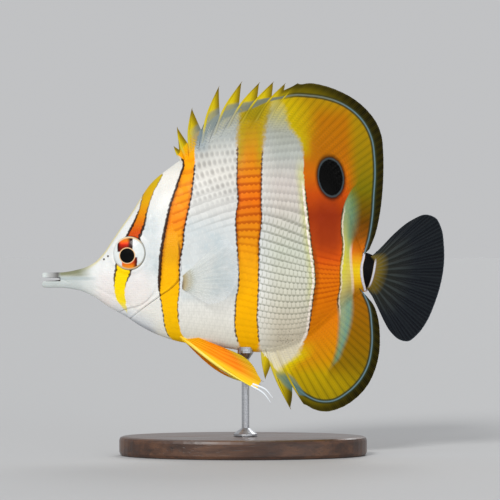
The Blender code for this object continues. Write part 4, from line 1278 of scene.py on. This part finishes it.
def paint_head(view):
    """Snout, forehead, throat, jaws and nostrils, with painted shade under the throat, in the mouth's gap and
    in the nostril holes.
    """
    x, z, colour = view.x, view.z, view.colour
    spots = [((far + 85) / 60, high / 60) for far, high in BACK[3:15]]
    under_back = curve((x + 85.0) / 60, [(0.0, 0.05), *spots, (1.0, 0.98)]) * 60 - z
    brow = fall(under_back, 0.1, 1.9) * step(x, -72, -66) * fall(x, -42, -36)
    colour.lay(brow * 0.75, (216, 200, 116))
    snout_top = step(x, -78.5, -76) * fall(x, -70, -62) * step(z, 0.6, 2.4)
    colour.lay(fall(x, -72, -58) * 0.85, (190, 198, 196))
    colour.lay(snout_top, (128, 130, 102))
    under = step(x, -80, -76) * fall(x, -66, -60) * step(z, -0.6, 0.4) * fall(z, 0.8, 1.6)
    colour.lay(under * 0.5, (150, 166, 168))
    # Painted shade under the head: the throat darker and cooler toward its keel
    throat = step(x, -58, -50) * fall(x, -40, -34)
    over_keel = x * 0.46 + 39.2 + z
    colour.lay(throat * step(over_keel, 2, 8, 0.5, 0.0), (204, 212, 224))
    colour.lay(throat * step(over_keel, 0.2, 2.4, 0.5, 0.0), (146, 152, 164))
    jaw = step(x, -83.4, -81) * fall(x, -78, -76.2) * step(z, 0.6, 1.2)
    jaw_tone = blend(step(x, -81.5, -77), (168, 168, 168), (64, 58, 54))
    colour.lay(jaw * 0.9, jaw_tone)
    # Painted shade in the mouth's gap: its walls and the jaws' surfaces beside it painted dark
    gape_shade = fall(x, -76.9, -76.4) * fall(abs(z - 0.2), 0.72, 0.84)
    colour.lay(gape_shade, (28, 20, 20))
    # Painted shade in the nostril holes: dark round each nostril
    for at_x, at_z in NOSTRILS:
        away = distance(x - at_x, z - at_z)
        colour.lay(fall(away, 0.3, 0.6) * 0.85, (70, 58, 55))


def paint_eye_band(view):
    """The band through the eye, above it."""
    z, colour = view.z, view.colour
    front, rear = view.past(EYE_BAND_FRONT), view.past(EYE_BAND_REAR)
    at_height = view.within(13, 44.5)
    band = between(front, rear, 0.2) * at_height
    orange = view.by_height(
        (14, 196, 58, 8), (20, 204, 76, 12), (26, 222, 130, 10), (33, 216, 160, 12), (44, 196, 172, 24))
    view.bands.append(band)
    colour.lay(band, orange)
    thick = step(z, 18, 34, 0.66, 0.14)
    lines = highest(view.rim(front, thick, 0.15, at_height), view.rim(rear, thick, 0.25, at_height))
    colour.lay(lines * 0.97, blend(step(z, 22, 36), DARK_LINE, (120, 92, 20)))


def paint_cheek_band(view):
    """The band below the eye."""
    z, colour = view.z, view.colour
    front, rear = view.past(CHEEK_BAND_FRONT), view.past(CHEEK_BAND_REAR)
    at_height = view.within(-14.5, 7, 0.6)
    band = between(front, rear, 0.2) * at_height
    view.bands.append(band)
    yellow = view.by_height((-14, 224, 212, 96), (-9, 248, 220, 40), (-4, 255, 219, 8), (6, 255, 212, 4))
    colour.lay(band * step(z, -15, -9, 0.5, 1.0), yellow)
    thick = step(z, -4, 3, 0.12, 0.5)
    lines = highest(view.rim(front, thick, 0.3, at_height), view.rim(rear, thick, 0.4, at_height))
    colour.lay(lines * step(z, -5, -1) * 0.9, DARK_LINE)


def paint_nape_band(view):
    """The band behind the head."""
    z, colour = view.z, view.colour
    front, rear = view.past(NAPE_BAND_FRONT), view.past(NAPE_BAND_REAR)
    band = between(front, rear)
    view.bands.append(band)
    colour.lay(band, view.by_height(
        (-28, 250, 196, 8), (-8, 254, 190, 3), (4, 246, 178, 10), (10, 226, 160, 18), (18, 236, 160, 20),
        (24, 246, 138, 14), (34, 250, 152, 8), (50, 250, 164, 8), (58, 214, 170, 14), (75, 196, 166, 24)))
    colour.lay(band * fall(front, 0.3, 2.2) * view.within(0, 44, 8) * 0.6, (150, 50, 6))
    colour.lay(band * step(rear, -1.7, -0.2) * view.within(4, 42, 8) * 0.5, (168, 64, 8))
    thick = step(z, -8, 0, 0.25, 0.66) * step(z, 20, 34, 1.0, 0.75)
    beads = step(z, -8, -2, 0.85, 0.1)
    lines = view.rim(front, thick, beads, view.within(-24, 51))
    rear_thick = step(z, -2, 8, 0.22, 0.45)
    lines = highest(lines, view.rim(rear, rear_thick, 0.75, view.within(-18, 48)))
    colour.lay(lines * 0.97, DARK_LINE)


def paint_gill_edge(view):
    """The gill cover's dark edge, strongest on the bands: partly a dark line of its own, partly painted shade
    under the cover's rim.
    """
    z, colour = view.z, view.colour
    gill = fall(abs(view.past(GILL_EDGE) + 0.2), 0.2, 0.75) * view.within(-13, 15, 2)
    colour.lay(gill * step(z, 4, 9, 0.3, 0.75) * (highest(*view.bands) * 0.85 + 0.15), (112, 62, 28))


def paint_flank_band(view):
    """The band round the middle."""
    z, colour = view.z, view.colour
    front, rear = view.past(FLANK_BAND_FRONT), view.past(FLANK_BAND_REAR)
    band = between(front, rear, view.feather) * step(z, -34, -31)
    view.bands.append(band)
    colour.lay(band, view.by_height(
        (-30, 252, 184, 4), (-8, 252, 180, 4), (6, 242, 166, 16), (18, 228, 142, 14), (28, 222, 118, 14),
        (34, 230, 112, 10), (42, 228, 128, 6), (52, 210, 132, 3), (60, 184, 138, 6), (69, 148, 130, 16),
        (78, 140, 130, 22)))
    edges = highest(fall(front, 0.2, 4.2), step(rear, -4, -0.2))
    colour.lay(band * edges * step(z, 42, 56) * 0.85, (170, 148, 18))
    edges = highest(fall(front, 0.2, 1.7), step(rear, -1.5, -0.2))
    colour.lay(band * edges * view.within(8, 44, 8) * 0.6, (142, 54, 4))
    lines = highest(view.rim(front, 0.4, 0.7, view.within(-26, 56)),
                    view.rim(rear, 0.36, 0.75, view.within(-26, 54)))
    colour.lay(lines * 0.85, DARK_LINE)


def paint_fins(view):
    """The last band with its white line, and the fins behind it."""
    x, z, colour = view.x, view.z, view.colour
    front, rear = view.past(FIN_BAND_FRONT), view.past(FIN_BAND_REAR)
    behind = step(front, -view.feather, view.feather)
    colour.lay(step(front, -4.5, -0.5) * view.within(-8, 48, 6) * 0.7, (204, 204, 112))
    view.bands.append(behind)
    fin_colour = view.by_height(
        (-52, 140, 124, 8), (-40, 170, 144, 6), (-33, 190, 130, 6), (-24, 206, 122, 5), (-12, 220, 118, 5),
        (2, 222, 112, 6), (9, 214, 84, 8), (16, 170, 62, 10), (27, 150, 48, 7), (36, 190, 72, 6),
        (44, 196, 98, 4), (54, 176, 106, 5), (64, 172, 122, 6), (74, 162, 126, 8))
    fin_colour.lay(step(x, 29, 33) * fall(x, 38, 41) * view.within(10, 34, 4) * 0.35, (130, 34, 8))
    fin_colour.lay(fall(front, 0, step(z, 56, 67, 6, 15)) * step(z, 48, 58), (186, 164, 8))
    fin_colour.lay(fall(front, 0, 8) * fall(z, -34, -24), (206, 186, 8))
    # Behind the band; the olive that darkens toward the tail is partly the fins' own colour, partly painted
    # shade where the light falls off
    warm = step(x, 26, 34) * fall(x, 42, 50) * step(z, 44, 52) * fall(z, 66, 76)
    fin_colour.lay(warm * 0.8, (168, 98, 5))
    fin_colour.lay(step(x, 42, 49) * step(z, 30, 38),
                   view.by_height((34, 124, 104, 6), (48, 136, 114, 8), (62, 152, 122, 8),
                                  (74, 150, 124, 12)))
    rear_zone = view.by_height(
        (-50, 120, 102, 6), (-36, 126, 98, 4), (-20, 134, 91, 3), (-7, 150, 92, 6), (-4, 176, 120, 16),
        (-1, 222, 170, 18), (4, 230, 196, 24), (8, 226, 160, 20), (12, 206, 108, 12), (18, 132, 74, 8),
        (24, 98, 60, 3), (32, 104, 84, 4), (38, 112, 104, 6), (48, 134, 114, 8))
    plain_rear = view.past(FIN_BAND_REAR, x)
    blur = step(z, -12, -5, 1.2, 0.35)
    back_of_fins = step(plain_rear, -blur, blur)
    blur_rear = step(z, -12, -5, 1.3, 0.4) + step(z, 12, 22, 0.0, 2.3)
    fin_colour.lay(back_of_fins * view.within(-40, 50, 6), rear_zone)
    fin_colour.lay(step(x, 36, 50) * fall(z, -40, -30) * 0.6, (118, 98, 5))
    streak_rear = view.past(PALE_STREAK_REAR, x)
    streak = back_of_fins * fall(streak_rear, -blur_rear, blur_rear) * view.within(-36, 37, 4)
    inner = step(plain_rear / (plain_rear - streak_rear), 0.25, 0.75)
    streak_left = view.by_height(
        (-36, 100, 128, 84), (-22, 128, 150, 120), (-12, 142, 156, 122), (-6, 184, 172, 108),
        (0, 206, 194, 82), (6, 212, 202, 54), (12, 190, 186, 72), (18, 170, 172, 100), (30, 124, 148, 112),
        (38, 106, 130, 74))
    streak_right = view.by_height(
        (-36, 96, 134, 116), (-22, 108, 142, 126), (-10, 118, 148, 126), (-5, 162, 152, 98),
        (0, 200, 180, 88), (6, 208, 192, 72), (12, 174, 176, 82), (18, 112, 138, 100), (26, 100, 134, 106),
        (38, 94, 122, 66))
    fin_colour.lay(streak, blend(inner, streak_left, streak_right))
    colour.lay(behind, fin_colour)
    white = fall(abs(front + 0.85), 0.25, 0.7) * view.within(-26, 40, 3)
    colour.lay(white * 0.95, (250, 238, 226))
    brown = step(front, -0.1, 0.3) * fall(front, 0.6, 2.4) * view.within(-12, 14, 5)
    colour.lay(brown * 0.55, (112, 58, 6))
    colour.lay(view.rim(front, 0.34, 0.7, view.within(-22, 38)) * 0.85, DARK_LINE)
    white = fall(abs(rear - 0.55), 0.15, 0.5) * view.within(-14, 30, 3)
    colour.lay(white * 0.7, (232, 216, 196))
    white = fall(abs(streak_rear), 0.3, 0.8) * view.within(-5, 14, 2)
    colour.lay(white * 0.55, (226, 208, 188))
    colour.lay(view.rim(rear, 0.28, 0.3, view.within(-12, 30)) * 0.75, DARK_LINE)


def paint_eye_spot(view):
    """Eye spot on the dorsal fin."""
    x, z, colour = view.x, view.z, view.colour
    up = z - EYE_SPOT[1]
    leaning = up * 0.07 + (x - EYE_SPOT[0])
    away = distance(leaning / EYE_SPOT_HALF[0], up / EYE_SPOT_HALF[1]) + (view.fine * 0.08 - 0.04)
    colour.lay(fall(away, 1.12, 1.46) * 0.93, (16, 10, 3))
    colour.lay(fall(away, 1.1, 1.18), (60, 68, 72))
    colour.lay(fall(away, 0.99, 1.07), (2, 2, 2))


def paint_tail(view):
    """Tail: white, black, white, and the yellow root of the fin."""
    x, colour = view.x, view.colour
    on_tail = view.within(-4.6, 11.2, 0.25)
    white_front, black_front = view.past(TAIL_WHITE_FRONT, x), view.past(TAIL_BLACK_FRONT, x)
    black_rear, white_rear = view.past(TAIL_BLACK_REAR, x), view.past(TAIL_WHITE_REAR, x)
    colour.lay(between(white_front, black_front, 0.2) * on_tail, (206, 204, 214))
    colour.lay(view.rim(white_front, 0.15, 0.2, view.within(-4.6, 9.6)) * 0.4, DARK_LINE)
    at_tail = view.within(-6.0, 12.5, 0.2)
    colour.lay(step(black_rear, -0.2, 0.2) * at_tail, (196, 196, 206))
    colour.lay(step(white_rear, -0.2, 0.3) * at_tail, (112, 88, 44))
    colour.lay(between(black_front, black_rear, 0.15) * view.within(-5.5, 12.5, 0.3), (6, 5, 6))


def markings_group():
    """The fish's colours and painted shade by place in its side view, the same for skin, scales and fins."""
    tree, _, result = new_group("markings", (), ("Color", "Band"))
    view = SideView(tree)
    for paint in (paint_ground, paint_head, paint_eye_band, paint_cheek_band, paint_nape_band,
                  paint_gill_edge, paint_flank_band, paint_fins, paint_eye_spot, paint_tail):
        paint(view)
    feed(result, {"Color": view.colour, "Band": highest(*view.bands)})
    return tree


def fine_scales_group():
    """Height of the small scales on the head: overlapping round plates on the object's own grid."""
    tree, given, result = new_group("fine_scales", ("Size",), ("Height",))
    place = side_view(tree)[0]
    grid = field(tree, "ShaderNodeVectorMath", {0: place, "Scale": 1.0 / given["Size"]}, operation="SCALE")
    cells = field(tree, "ShaderNodeTexVoronoi", {"Vector": grid, "Scale": 1.0, "Randomness": 0.55},
                  "Distance")
    feed(result, {"Height": 1.0 - cells + noise(place, 2600, 3) * 0.25})
    return tree


def ray_streaks_group():
    """Light and dark streaks along a fin's rays, and the height of their fine branches."""
    tree, given, result = new_group("ray_streaks", ("Branches",), ("Streak", "Height"))
    ray, out = read(tree, "ray"), read(tree, "out")
    angle = ray * given["Branches"] * (2 * math.pi)
    wave = 0.5 - angle.math("COSINE") * 0.5
    spread = field(tree, "ShaderNodeCombineXYZ", (ray * 2.3, out * 1.6, 0.0))
    joints = (out * 240.0).math("SINE")
    streak = clamped(wave * (noise(spread, 2.2, 3) + 0.35))
    feed(result, {"Streak": streak, "Height": wave * (joints * 0.12 + 1.0)})
    return tree


def skin_material(markings, scales):
    made, tree = new_material("skin")
    paint = group(tree, markings)
    place = side_view(tree)[0]
    cloud = noise(place, 240, 5, 0.6)
    shade = step(cloud, 0.3, 0.75, 0.0, 0.1)
    colour = blend(shade, paint["Color"], (150, 150, 150), "MULTIPLY")
    plates = group(tree, scales, {"Size": 0.00085})
    return surface(made, {"Base Color": colour, "Roughness": step(cloud, 0.2, 0.8, 0.34, 0.48),
                          "Coat Weight": 0.1 - paint["Band"] * 0.1, "Specular IOR Level": 0.07,
                          "Coat Roughness": 0.22, "Subsurface Weight": 0.06,
                          "Subsurface Radius": (1.0, 0.7, 0.5), "Subsurface Scale": 0.0012},
                   plates["Height"], 0.15)


def scale_material(markings):
    """Plates with a dark line where rows meet, painted shade where one row overlaps the next, which breaks
    into dots over the upper front; each scale's rear edge has a painted highlight, and painted shade over the
    rear.
    """
    made, tree = new_material("scales")
    paint = group(tree, markings)
    _, x, z = side_view(tree)
    along, across, chance = read(tree, "along"), read(tree, "across"), read(tree, "chance")
    # Lines where rows meet and darker rear edges, over the rear, both painted shade where scales overlap;
    # spots in the middle of each scale, over the upper front
    band = paint["Band"]
    line = fall(abs(across + 0.66), 0.1, 0.5)
    line.lay(step(z, 22, 32), step(abs(across + 0.5), 0.1, 0.9, 0.85, 0.0))
    joint = step(along, 0.8, 0.94)
    knot = fall(abs(along - 0.74), 0.08, 0.28)
    off = distance((along - 0.76) / 0.25, across / 0.72)
    heart = fall(off, 0.2, 1.25)
    front = fall(x, 2, 6)
    spots = heart * front * step(z, 28, 37) * (chance * 0.15 + step(z, 50, 62, 0.37, 0.05))
    slant = line * front * step(z, 17, 28) * step(z, 32, 42, 0.25, 0.06)
    rear = step(x, 3, 7) * step(z, -28, -10, 0.16, 0.56) * step(z, 24, 42, 1.0, 0.42)
    lines = (line * knot * 0.3 + line * 0.7) * rear
    dark = highest(spots, slant, highest(lines, joint * rear * 0.76))
    # On the bands the row lines are broad streaks, partly painted shade
    broad_line = fall(abs(across + 0.62), 0.12, 0.62)
    streaky = broad_line * step(abs(z - 32), 10, 24, 0.54, 0.08) * step(x, -24, -10, 0.6, 1.0)
    quiet = step(x, 22, 26) * step(z, 8, 16)
    low_rows = step(x, 18, 23) * step(z, -13, -6) * step(z, 6, 14, 0.4, 0.0)
    streaky = highest(streaky * (1.0 - quiet), low_rows * broad_line) * step(x, 39, 42, 1.0, 0.2)
    # The small scales low on the front are drawn four to a plate
    small = fall(x, -3, 1) * fall(z, -4, 10)
    seam = highest(fall(abs(across), 0.05, 0.22), fall(abs(along - 0.74), 0.02, 0.08))
    dark = highest(dark, small * seam * 0.09)
    dark.lay(band, streaky)
    # The tone the darks are multiplied by: painted shade for row lines and rear edges, the scales' own colour
    # for the spots
    shade_and_spot_tone = blend(step(z, 20, 32), (122, 126, 108), (134, 128, 128))
    shade_and_spot_tone.lay(band, (172, 72, 40))
    colour = blend(dark, paint["Color"], shade_and_spot_tone, "MULTIPLY")
    # Painted highlight: the rear edge of each scale lightened, less on the bands
    edge = step(along, 0.86, 1.0) * step(abs(across), 0.9, 0.5)
    colour.lay(edge * (0.22 - band * 0.17), (255, 250, 236), "OVERLAY")
    colour.lay(chance * 0.08, (130, 130, 130), "MULTIPLY")
    height = (along * 46.0).math("SINE") * 0.4 + (across * 30.0).math("SINE") * 0.5
    return surface(made, {"Base Color": colour, "Roughness": chance * 0.12 + 0.3,
                          "Coat Weight": 0.08 - band * 0.08, "Coat Roughness": 0.25,
                          "Specular IOR Level": 0.06}, height, 0.015, 0.6)


def fin_material(markings, streaks):
    """Yellow fins: rays and membrane, the pale blue line, and the dark border outside it, painted shade that
    darkens toward the tail.
    """
    made, tree = new_material("fin_membrane")
    paint = group(tree, markings)
    rays = group(tree, streaks, {"Branches": 1.0})
    fine = group(tree, streaks, {"Branches": 4.0})
    blue, rim, out, spiny = read(tree, "blue"), read(tree, "rim"), read(tree, "out"), read(tree, "spiny")
    place, x, z = side_view(tree)
    colour = paint["Color"]
    grown = step(out, 0.15, 0.45, 0.3, 1.0)
    colour.lay(rays["Streak"] * grown * 0.2, (255, 232, 120), "OVERLAY")
    gaps = fall(rays["Streak"], 0.0, 0.22) * grown * fall(read(tree, "ray"), 33, 35)
    colour.lay(gaps * step(z, -40, -14, 0.24, 0.12), (96, 62, 34), "MULTIPLY")
    branch = fall(fine["Streak"], 0.0, 0.3) * step(out, 0.3, 0.6)
    colour.lay(branch * 0.16, (124, 92, 60), "MULTIPLY")
    # Outside the blue line the fin darkens to its margin, and more toward the tail: painted shade over the
    # clear margin, as if little light came through it and where the light falls off
    border_shade = ramp(step(rim, 0.0, 5.0), (0.0, 76, 68, 20), (0.1, 50, 44, 4), (0.5, 70, 61, 3), (1.0, 98, 86, 4))
    rear_border_shade = ramp(step(rim, 0.0, 4.0), (0.0, 30, 27, 10), (0.12, 11, 10, 2), (0.6, 16, 15, 2),
                 (1.0, 28, 25, 4))
    border = blend(step(x, 26, 50), border_shade, rear_border_shade)
    border.lay(rays["Streak"] * 0.08, (112, 98, 10))
    border.lay(fine["Streak"] * 0.1, (112, 98, 10))
    tips = ramp(step(rim, 0.0, 9.0), (0.0, 124, 104, 16), (0.15, 158, 136, 16), (0.5, 196, 172, 18),
                (1.0, 208, 186, 26))
    border.lay(fall(x, 12, 22), tips)
    colour.lay(step(blue, 0.1, 0.9), border)
    # The line itself, spread into soft patches between the hard spines
    low_front = fall(x, 21, 27) * step(z, -20, -10, 0.75, 0.0)
    spread = highest(fall(x, -16, 20), low_front)
    at = blue + (noise(place, 420, 3) * 0.9 - 0.45) * (spread + 0.15)
    outside = spread * 1.8 + 0.2
    inside = spread * -2.0 - 0.2
    soft = spread * 1.6 + 0.26
    thread = step(at, inside - soft, inside) * fall(at, outside, outside + soft)
    lost = fall(x, 20, 24) * step(z, -41, -37) * fall(z, 0, 4)
    kept = step(x, -24, -19) * (1.0 - lost) * step(spiny, 1.2, 1.8, 1.0, 0.1)
    halo = fall(abs(blue + 0.05), 0.6, 1.25) * kept * step(x, 10, 24)
    colour.lay(halo * 0.85, (32, 46, 30))
    line_tone = blend(step(abs(blue), 0.05, 0.35), (100, 124, 134), (66, 94, 100))
    line_tone.lay(fall(x, 34, 46) * step(z, 0, 20), (106, 112, 98))
    line_tone.lay(spread, (104, 122, 130))
    line_tone.lay(low_front, (84, 124, 112))
    colour.lay(thread * kept * (0.95 - spread * 0.3), line_tone)
    # Hard spines: yellow blades, with olive tips
    blade = ramp(out, (0.0, 196, 186, 120), (0.35, 206, 190, 60), (0.7, 200, 176, 24), (0.92, 132, 112, 20),
                 (1.0, 112, 96, 30))
    colour.lay(step(spiny, 1.4, 1.6) * step(blue, -2.5, 1.0, 0.15, 0.9), blade)
    height = fine["Height"] * 0.4 + rays["Height"] * 0.6
    return surface(made, {"Base Color": colour, "Roughness": 0.5 - rays["Streak"] * 0.1,
                          "Coat Weight": 0.01, "Coat Roughness": 0.3, "Specular IOR Level": 0.03},
                   height, 0.1)


def shaded_tail_material(streaks, markings):
    """Tail fin: clear, painted near black with painted shade as if little light came through it, with paler
    rays from a yellow root.
    """
    made, tree = new_material("shaded_tail")
    paint = group(tree, markings)
    rays = group(tree, streaks, {"Branches": 1.0})
    fine = group(tree, streaks, {"Branches": 4.0})
    out, rim = read(tree, "out"), read(tree, "rim")
    # Painted shade: past its root the clear fin is painted near black
    body = ramp(out, (0.0, 120, 100, 30), (0.12, 100, 84, 24), (0.23, 32, 34, 30), (0.6, 11, 15, 22),
                (1.0, 8, 12, 19))
    streak = highest(step(rays["Streak"], 0.4, 0.9) * step(out, 0.28, 0.75, 0.95, 0.12),
                     step(fine["Streak"], 0.3, 0.8) * step(out, 0.3, 0.6, 0.0, 0.3))
    lead = step(abs(read(tree, "ray") - 8.5), 6.2, 7.6)
    colour = blend(streak * (lead * 0.2 + 0.2), body, (92, 104, 104))
    colour.lay(step(rim, 0.15, 0.7, 0.4, 0.0), (72, 82, 92))
    colour.lay(fall(out, 0.02, 0.1), paint["Color"])
    clear = step(out, 0.1, 0.45, 1.0, 0.94)
    height = fine["Height"] * 0.4 + rays["Height"]
    return surface(made, {"Base Color": colour, "Alpha": clamped(clear + streak * 0.2), "Roughness": 0.45,
                          "Specular IOR Level": 0.08}, height, 0.1)


def clear_material(streaks):
    """Pectoral fins: glassy membrane with fine pale rays, and a fleshy yellowish root."""
    made, tree = new_material("clear_fin")
    rays = group(tree, streaks, {"Branches": 1.0})
    fine = group(tree, streaks, {"Branches": 4.0})
    out = read(tree, "out")
    colour = ramp(out, (0.0, 120, 104, 90), (0.06, 196, 180, 140), (0.2, 222, 222, 206), (1.0, 214, 222, 228))
    streak = highest(rays["Streak"], fine["Streak"] * step(out, 0.4, 0.7))
    veil = step(out, 0.02, 0.26, 0.9, 0.05)
    return surface(made, {"Base Color": colour, "Alpha": clamped(streak * 0.15 + veil), "Roughness": 0.25,
                          "Specular IOR Level": 0.2}, rays["Height"], 0.08)


def pelvic_material(streaks):
    """Pelvic fins: orange web, pale leading ray, yellow rim and white threads."""
    made, tree = new_material("pelvic_fin")
    rays = group(tree, streaks, {"Branches": 1.0})
    fine = group(tree, streaks, {"Branches": 3.0})
    out, across = read(tree, "out"), read(tree, "across")
    web = ramp(out, (0.0, 244, 176, 10), (0.35, 250, 138, 4), (0.7, 244, 124, 3), (1.0, 214, 170, 14))
    web.lay(step(across, 0.35, 0.8) * step(out, 0.6, 0.9) * 0.8, (206, 184, 26))
    web.lay(rays["Streak"] * 0.22, (250, 186, 24))
    gaps = fall(fine["Streak"], 0.0, 0.3) * step(out, 0.45, 0.85)
    web.lay(gaps * step(across, 0.2, 0.6, 0.0, 0.7), (96, 58, 10))
    web.lay(fall(across, 0.02, 0.2) * 0.9, (252, 206, 30))
    spine = ramp(out, (0.0, 246, 200, 40), (0.3, 246, 226, 110), (0.7, 244, 222, 90), (1.0, 238, 216, 30))
    spine.lay(read(tree, "inner") * step(out, 0.75, 1.0, 1.0, 0.3), (250, 150, 10))
    colour = blend(fall(across, -0.06, -0.02), web, spine)
    colour.lay(fall(across, -0.4, -0.3), (232, 238, 244))
    height = fine["Height"] * 0.4 + rays["Height"]
    return surface(made, {"Base Color": colour, "Roughness": 0.45 - fine["Streak"] * 0.1,
                          "Coat Weight": 0.02, "Coat Roughness": 0.3, "Specular IOR Level": 0.1},
                   height, 0.12)


def eye_material():
    """Pearl iris crossed by the eye band, gold at its rim, round a black pupil, under a clear gloss."""
    made, tree = new_material("eye")
    place, x, z = side_view(tree, *EYE_CENTRE)
    fine = noise(place, 700, 3) * 0.8 - 0.4
    away = distance(x, z)
    pupil = distance(x + 0.84, z + 1.05)
    colour = blend(step(noise(place, 420, 4), 0.3, 0.7, 0.0, 0.5), (226, 230, 228), (196, 204, 206))
    # The eye band crosses the iris: red above the pupil and orange below it, both with dark sides
    over = x + fine * 0.6
    whole = fall(away, 6.1, 6.5)
    above = step(z, 0.2, 0.8) * fall(abs(over + 1.75), 3.0, 3.45) * whole
    glow = ramp(step(z, 1.8, 6.4), (0.0, 120, 24, 8), (0.3, 196, 34, 10), (0.55, 250, 84, 36),
                (0.8, 232, 112, 18), (1.0, 206, 120, 30))
    glow.lay(step(abs(over + 2.2), 1.0, 2.7), (40, 12, 8))
    colour.lay(above, glow)
    below = fall(z, -2.0, -1.4) * fall(abs(over - 0.15), 3.0, 3.4) * whole
    ember = blend(fall(z, -6.2, -3.6), (214, 70, 14), (240, 144, 24))
    ember.lay(step(over, 1.2, 3.0), (84, 14, 8))
    colour.lay(below, ember)
    ring = fall(abs(away - 6.55), 0.15, 0.42)
    rim_tone = blend(step(x, -2, 2), (206, 208, 206), (150, 148, 136))
    rim_tone.lay(step(abs(z), 3.5, 6.2), (224, 172, 84))
    colour.lay(ring * 0.75, rim_tone)
    colour.lay(step(away, 6.7, 6.98), blend(step(x, -4, 2), (206, 209, 207), (128, 122, 104)))
    colour.lay(fall(pupil, 3.3, 3.55), (232, 190, 142))
    colour.lay(fall(pupil, 2.98, 3.16), (2, 2, 3))
    fibres = noise(place, 1400, 4)
    return surface(made, {"Base Color": colour, "Roughness": step(fibres, 0.2, 0.8, 0.22, 0.36),
                          "Specular IOR Level": 0.05, "Coat Weight": 0.16, "Coat Roughness": 0.12,
                          "Coat IOR": 1.45}, fibres, 0.08, 0.5)


def wood_material():
    """Dark waxed wood with its grain along the base."""
    made, tree = new_material("base_wood")
    place = side_view(tree)[0]
    grain = noise(stretched(place, 18.0, 150.0, 150.0), 1.6, 7, 0.62)
    pores = noise(stretched(place, 90.0, 1600.0, 1600.0), 1.0, 3)
    colour = ramp(grain, (0.3, 40, 24, 16), (0.48, 66, 40, 25), (0.62, 88, 56, 34), (0.75, 58, 35, 22))
    colour.lay(step(pores, 0.58, 0.7, 0.0, 0.6), (26, 15, 10))
    height = grain * 0.5 - step(pores, 0.58, 0.7)
    return surface(made, {"Base Color": colour, "Roughness": step(grain, 0.3, 0.7, 0.3, 0.46),
                          "Coat Weight": 0.3, "Coat Roughness": 0.25}, height, 0.06, 0.7)


def steel_material():
    """Turned steel with faint tool lines round it."""
    made, tree = new_material("rod_steel")
    place = side_view(tree)[0]
    rings = noise(stretched(place, 60.0, 60.0, 9000.0), 1.0, 3)
    colour = blend(step(rings, 0.3, 0.7), (176, 178, 182), (206, 208, 212))
    return surface(made, {"Base Color": colour, "Roughness": step(rings, 0.3, 0.7, 0.2, 0.34),
                          "Metallic": 1.0}, rings, 0.01, 0.5)


def floor_material():
    made, _ = new_material("floor")
    return surface(made, {"Base Color": tone(187, 188, 189), "Roughness": 0.7})


# Stage

CAMERA_DISTANCE, PICTURE_WIDTH = 1.2, 0.210


def make_stage():
    """Pale floor, soft lights all round and the camera of the photograph."""
    nothing_selected()
    bpy.ops.mesh.primitive_circle_add(vertices=96, radius=30, fill_type="NGON", location=(0, 0, 0))
    floor = named("floor")
    floor.data.materials.append(floor_material())

    world = bpy.data.worlds.new("studio")
    bpy.context.scene.world = world
    world.use_nodes = True
    ground = world.node_tree.nodes["Background"]
    ground.inputs["Color"].default_value = tone(226, 227, 229)
    ground.inputs["Strength"].default_value = 0.7
    bpy.context.scene.view_settings.view_transform = "Standard"

    # Two wide soft lamps in front, far enough away to light floor and fish evenly, and one above
    for name, towards, angle, power, shade in (
        ("key", (-0.5, -1.3, 0.8), 16, 2.05, (255, 254, 252)),
        ("fill", (0.9, -1.3, 0.1), 40, 0.6, (252, 253, 255)),
        ("rim", (0.3, 1.0, 0.9), 25, 0.5, (255, 255, 255)),
    ):
        lamp = bpy.data.lights.new(name, "SUN")
        lamp.angle, lamp.energy = math.radians(angle), power
        lamp.color = tone(*shade)[:3]
        light = bpy.data.objects.new(name, lamp)
        bpy.context.scene.collection.objects.link(light)
        light.location = towards
        light.rotation_euler = Vector(towards).to_track_quat("Z", "Y").to_euler()

    lens = bpy.data.cameras.new("camera")
    lens.sensor_width = 36
    lens.lens = lens.sensor_width * CAMERA_DISTANCE / PICTURE_WIDTH
    lens.clip_start, lens.clip_end = 0.02, 100
    camera = bpy.data.objects.new("camera", lens)
    bpy.context.scene.collection.objects.link(camera)
    camera.location = (0.0029, -CAMERA_DISTANCE, 0.0862)
    camera.rotation_euler = (math.pi / 2, 0, 0)
    bpy.context.scene.camera = camera


def dress_stand():
    """The stand keeps its own shape and takes its real materials."""
    for node, material in (("stand_base", wood_material()), ("stand_rod", steel_material())):
        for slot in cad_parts[node].material_slots:
            slot.material = material


def main():
    make_stage()
    markings, fine_scales, streaks = markings_group(), fine_scales_group(), ray_streaks_group()
    make_skin(skin_material(markings, fine_scales))
    eye = eye_material()
    for side, sign in SIDES:
        make_eye(side, sign, eye)
    yellow, scaly, plate = fin_material(markings, streaks), scale_material(markings), scale_plate()
    make_dorsal(yellow, plate, scaly)
    make_anal(yellow, plate, scaly)
    make_caudal(shaded_tail_material(streaks, markings))
    clear, orange = clear_material(streaks), pelvic_material(streaks)
    for side, sign in SIDES:
        make_pectoral(side, sign, clear)
        make_pelvic(side, sign, orange)
    make_body_scales(plate, scaly)
    dress_stand()


main()

nothing_selected()
bpy.context.view_layer.update()
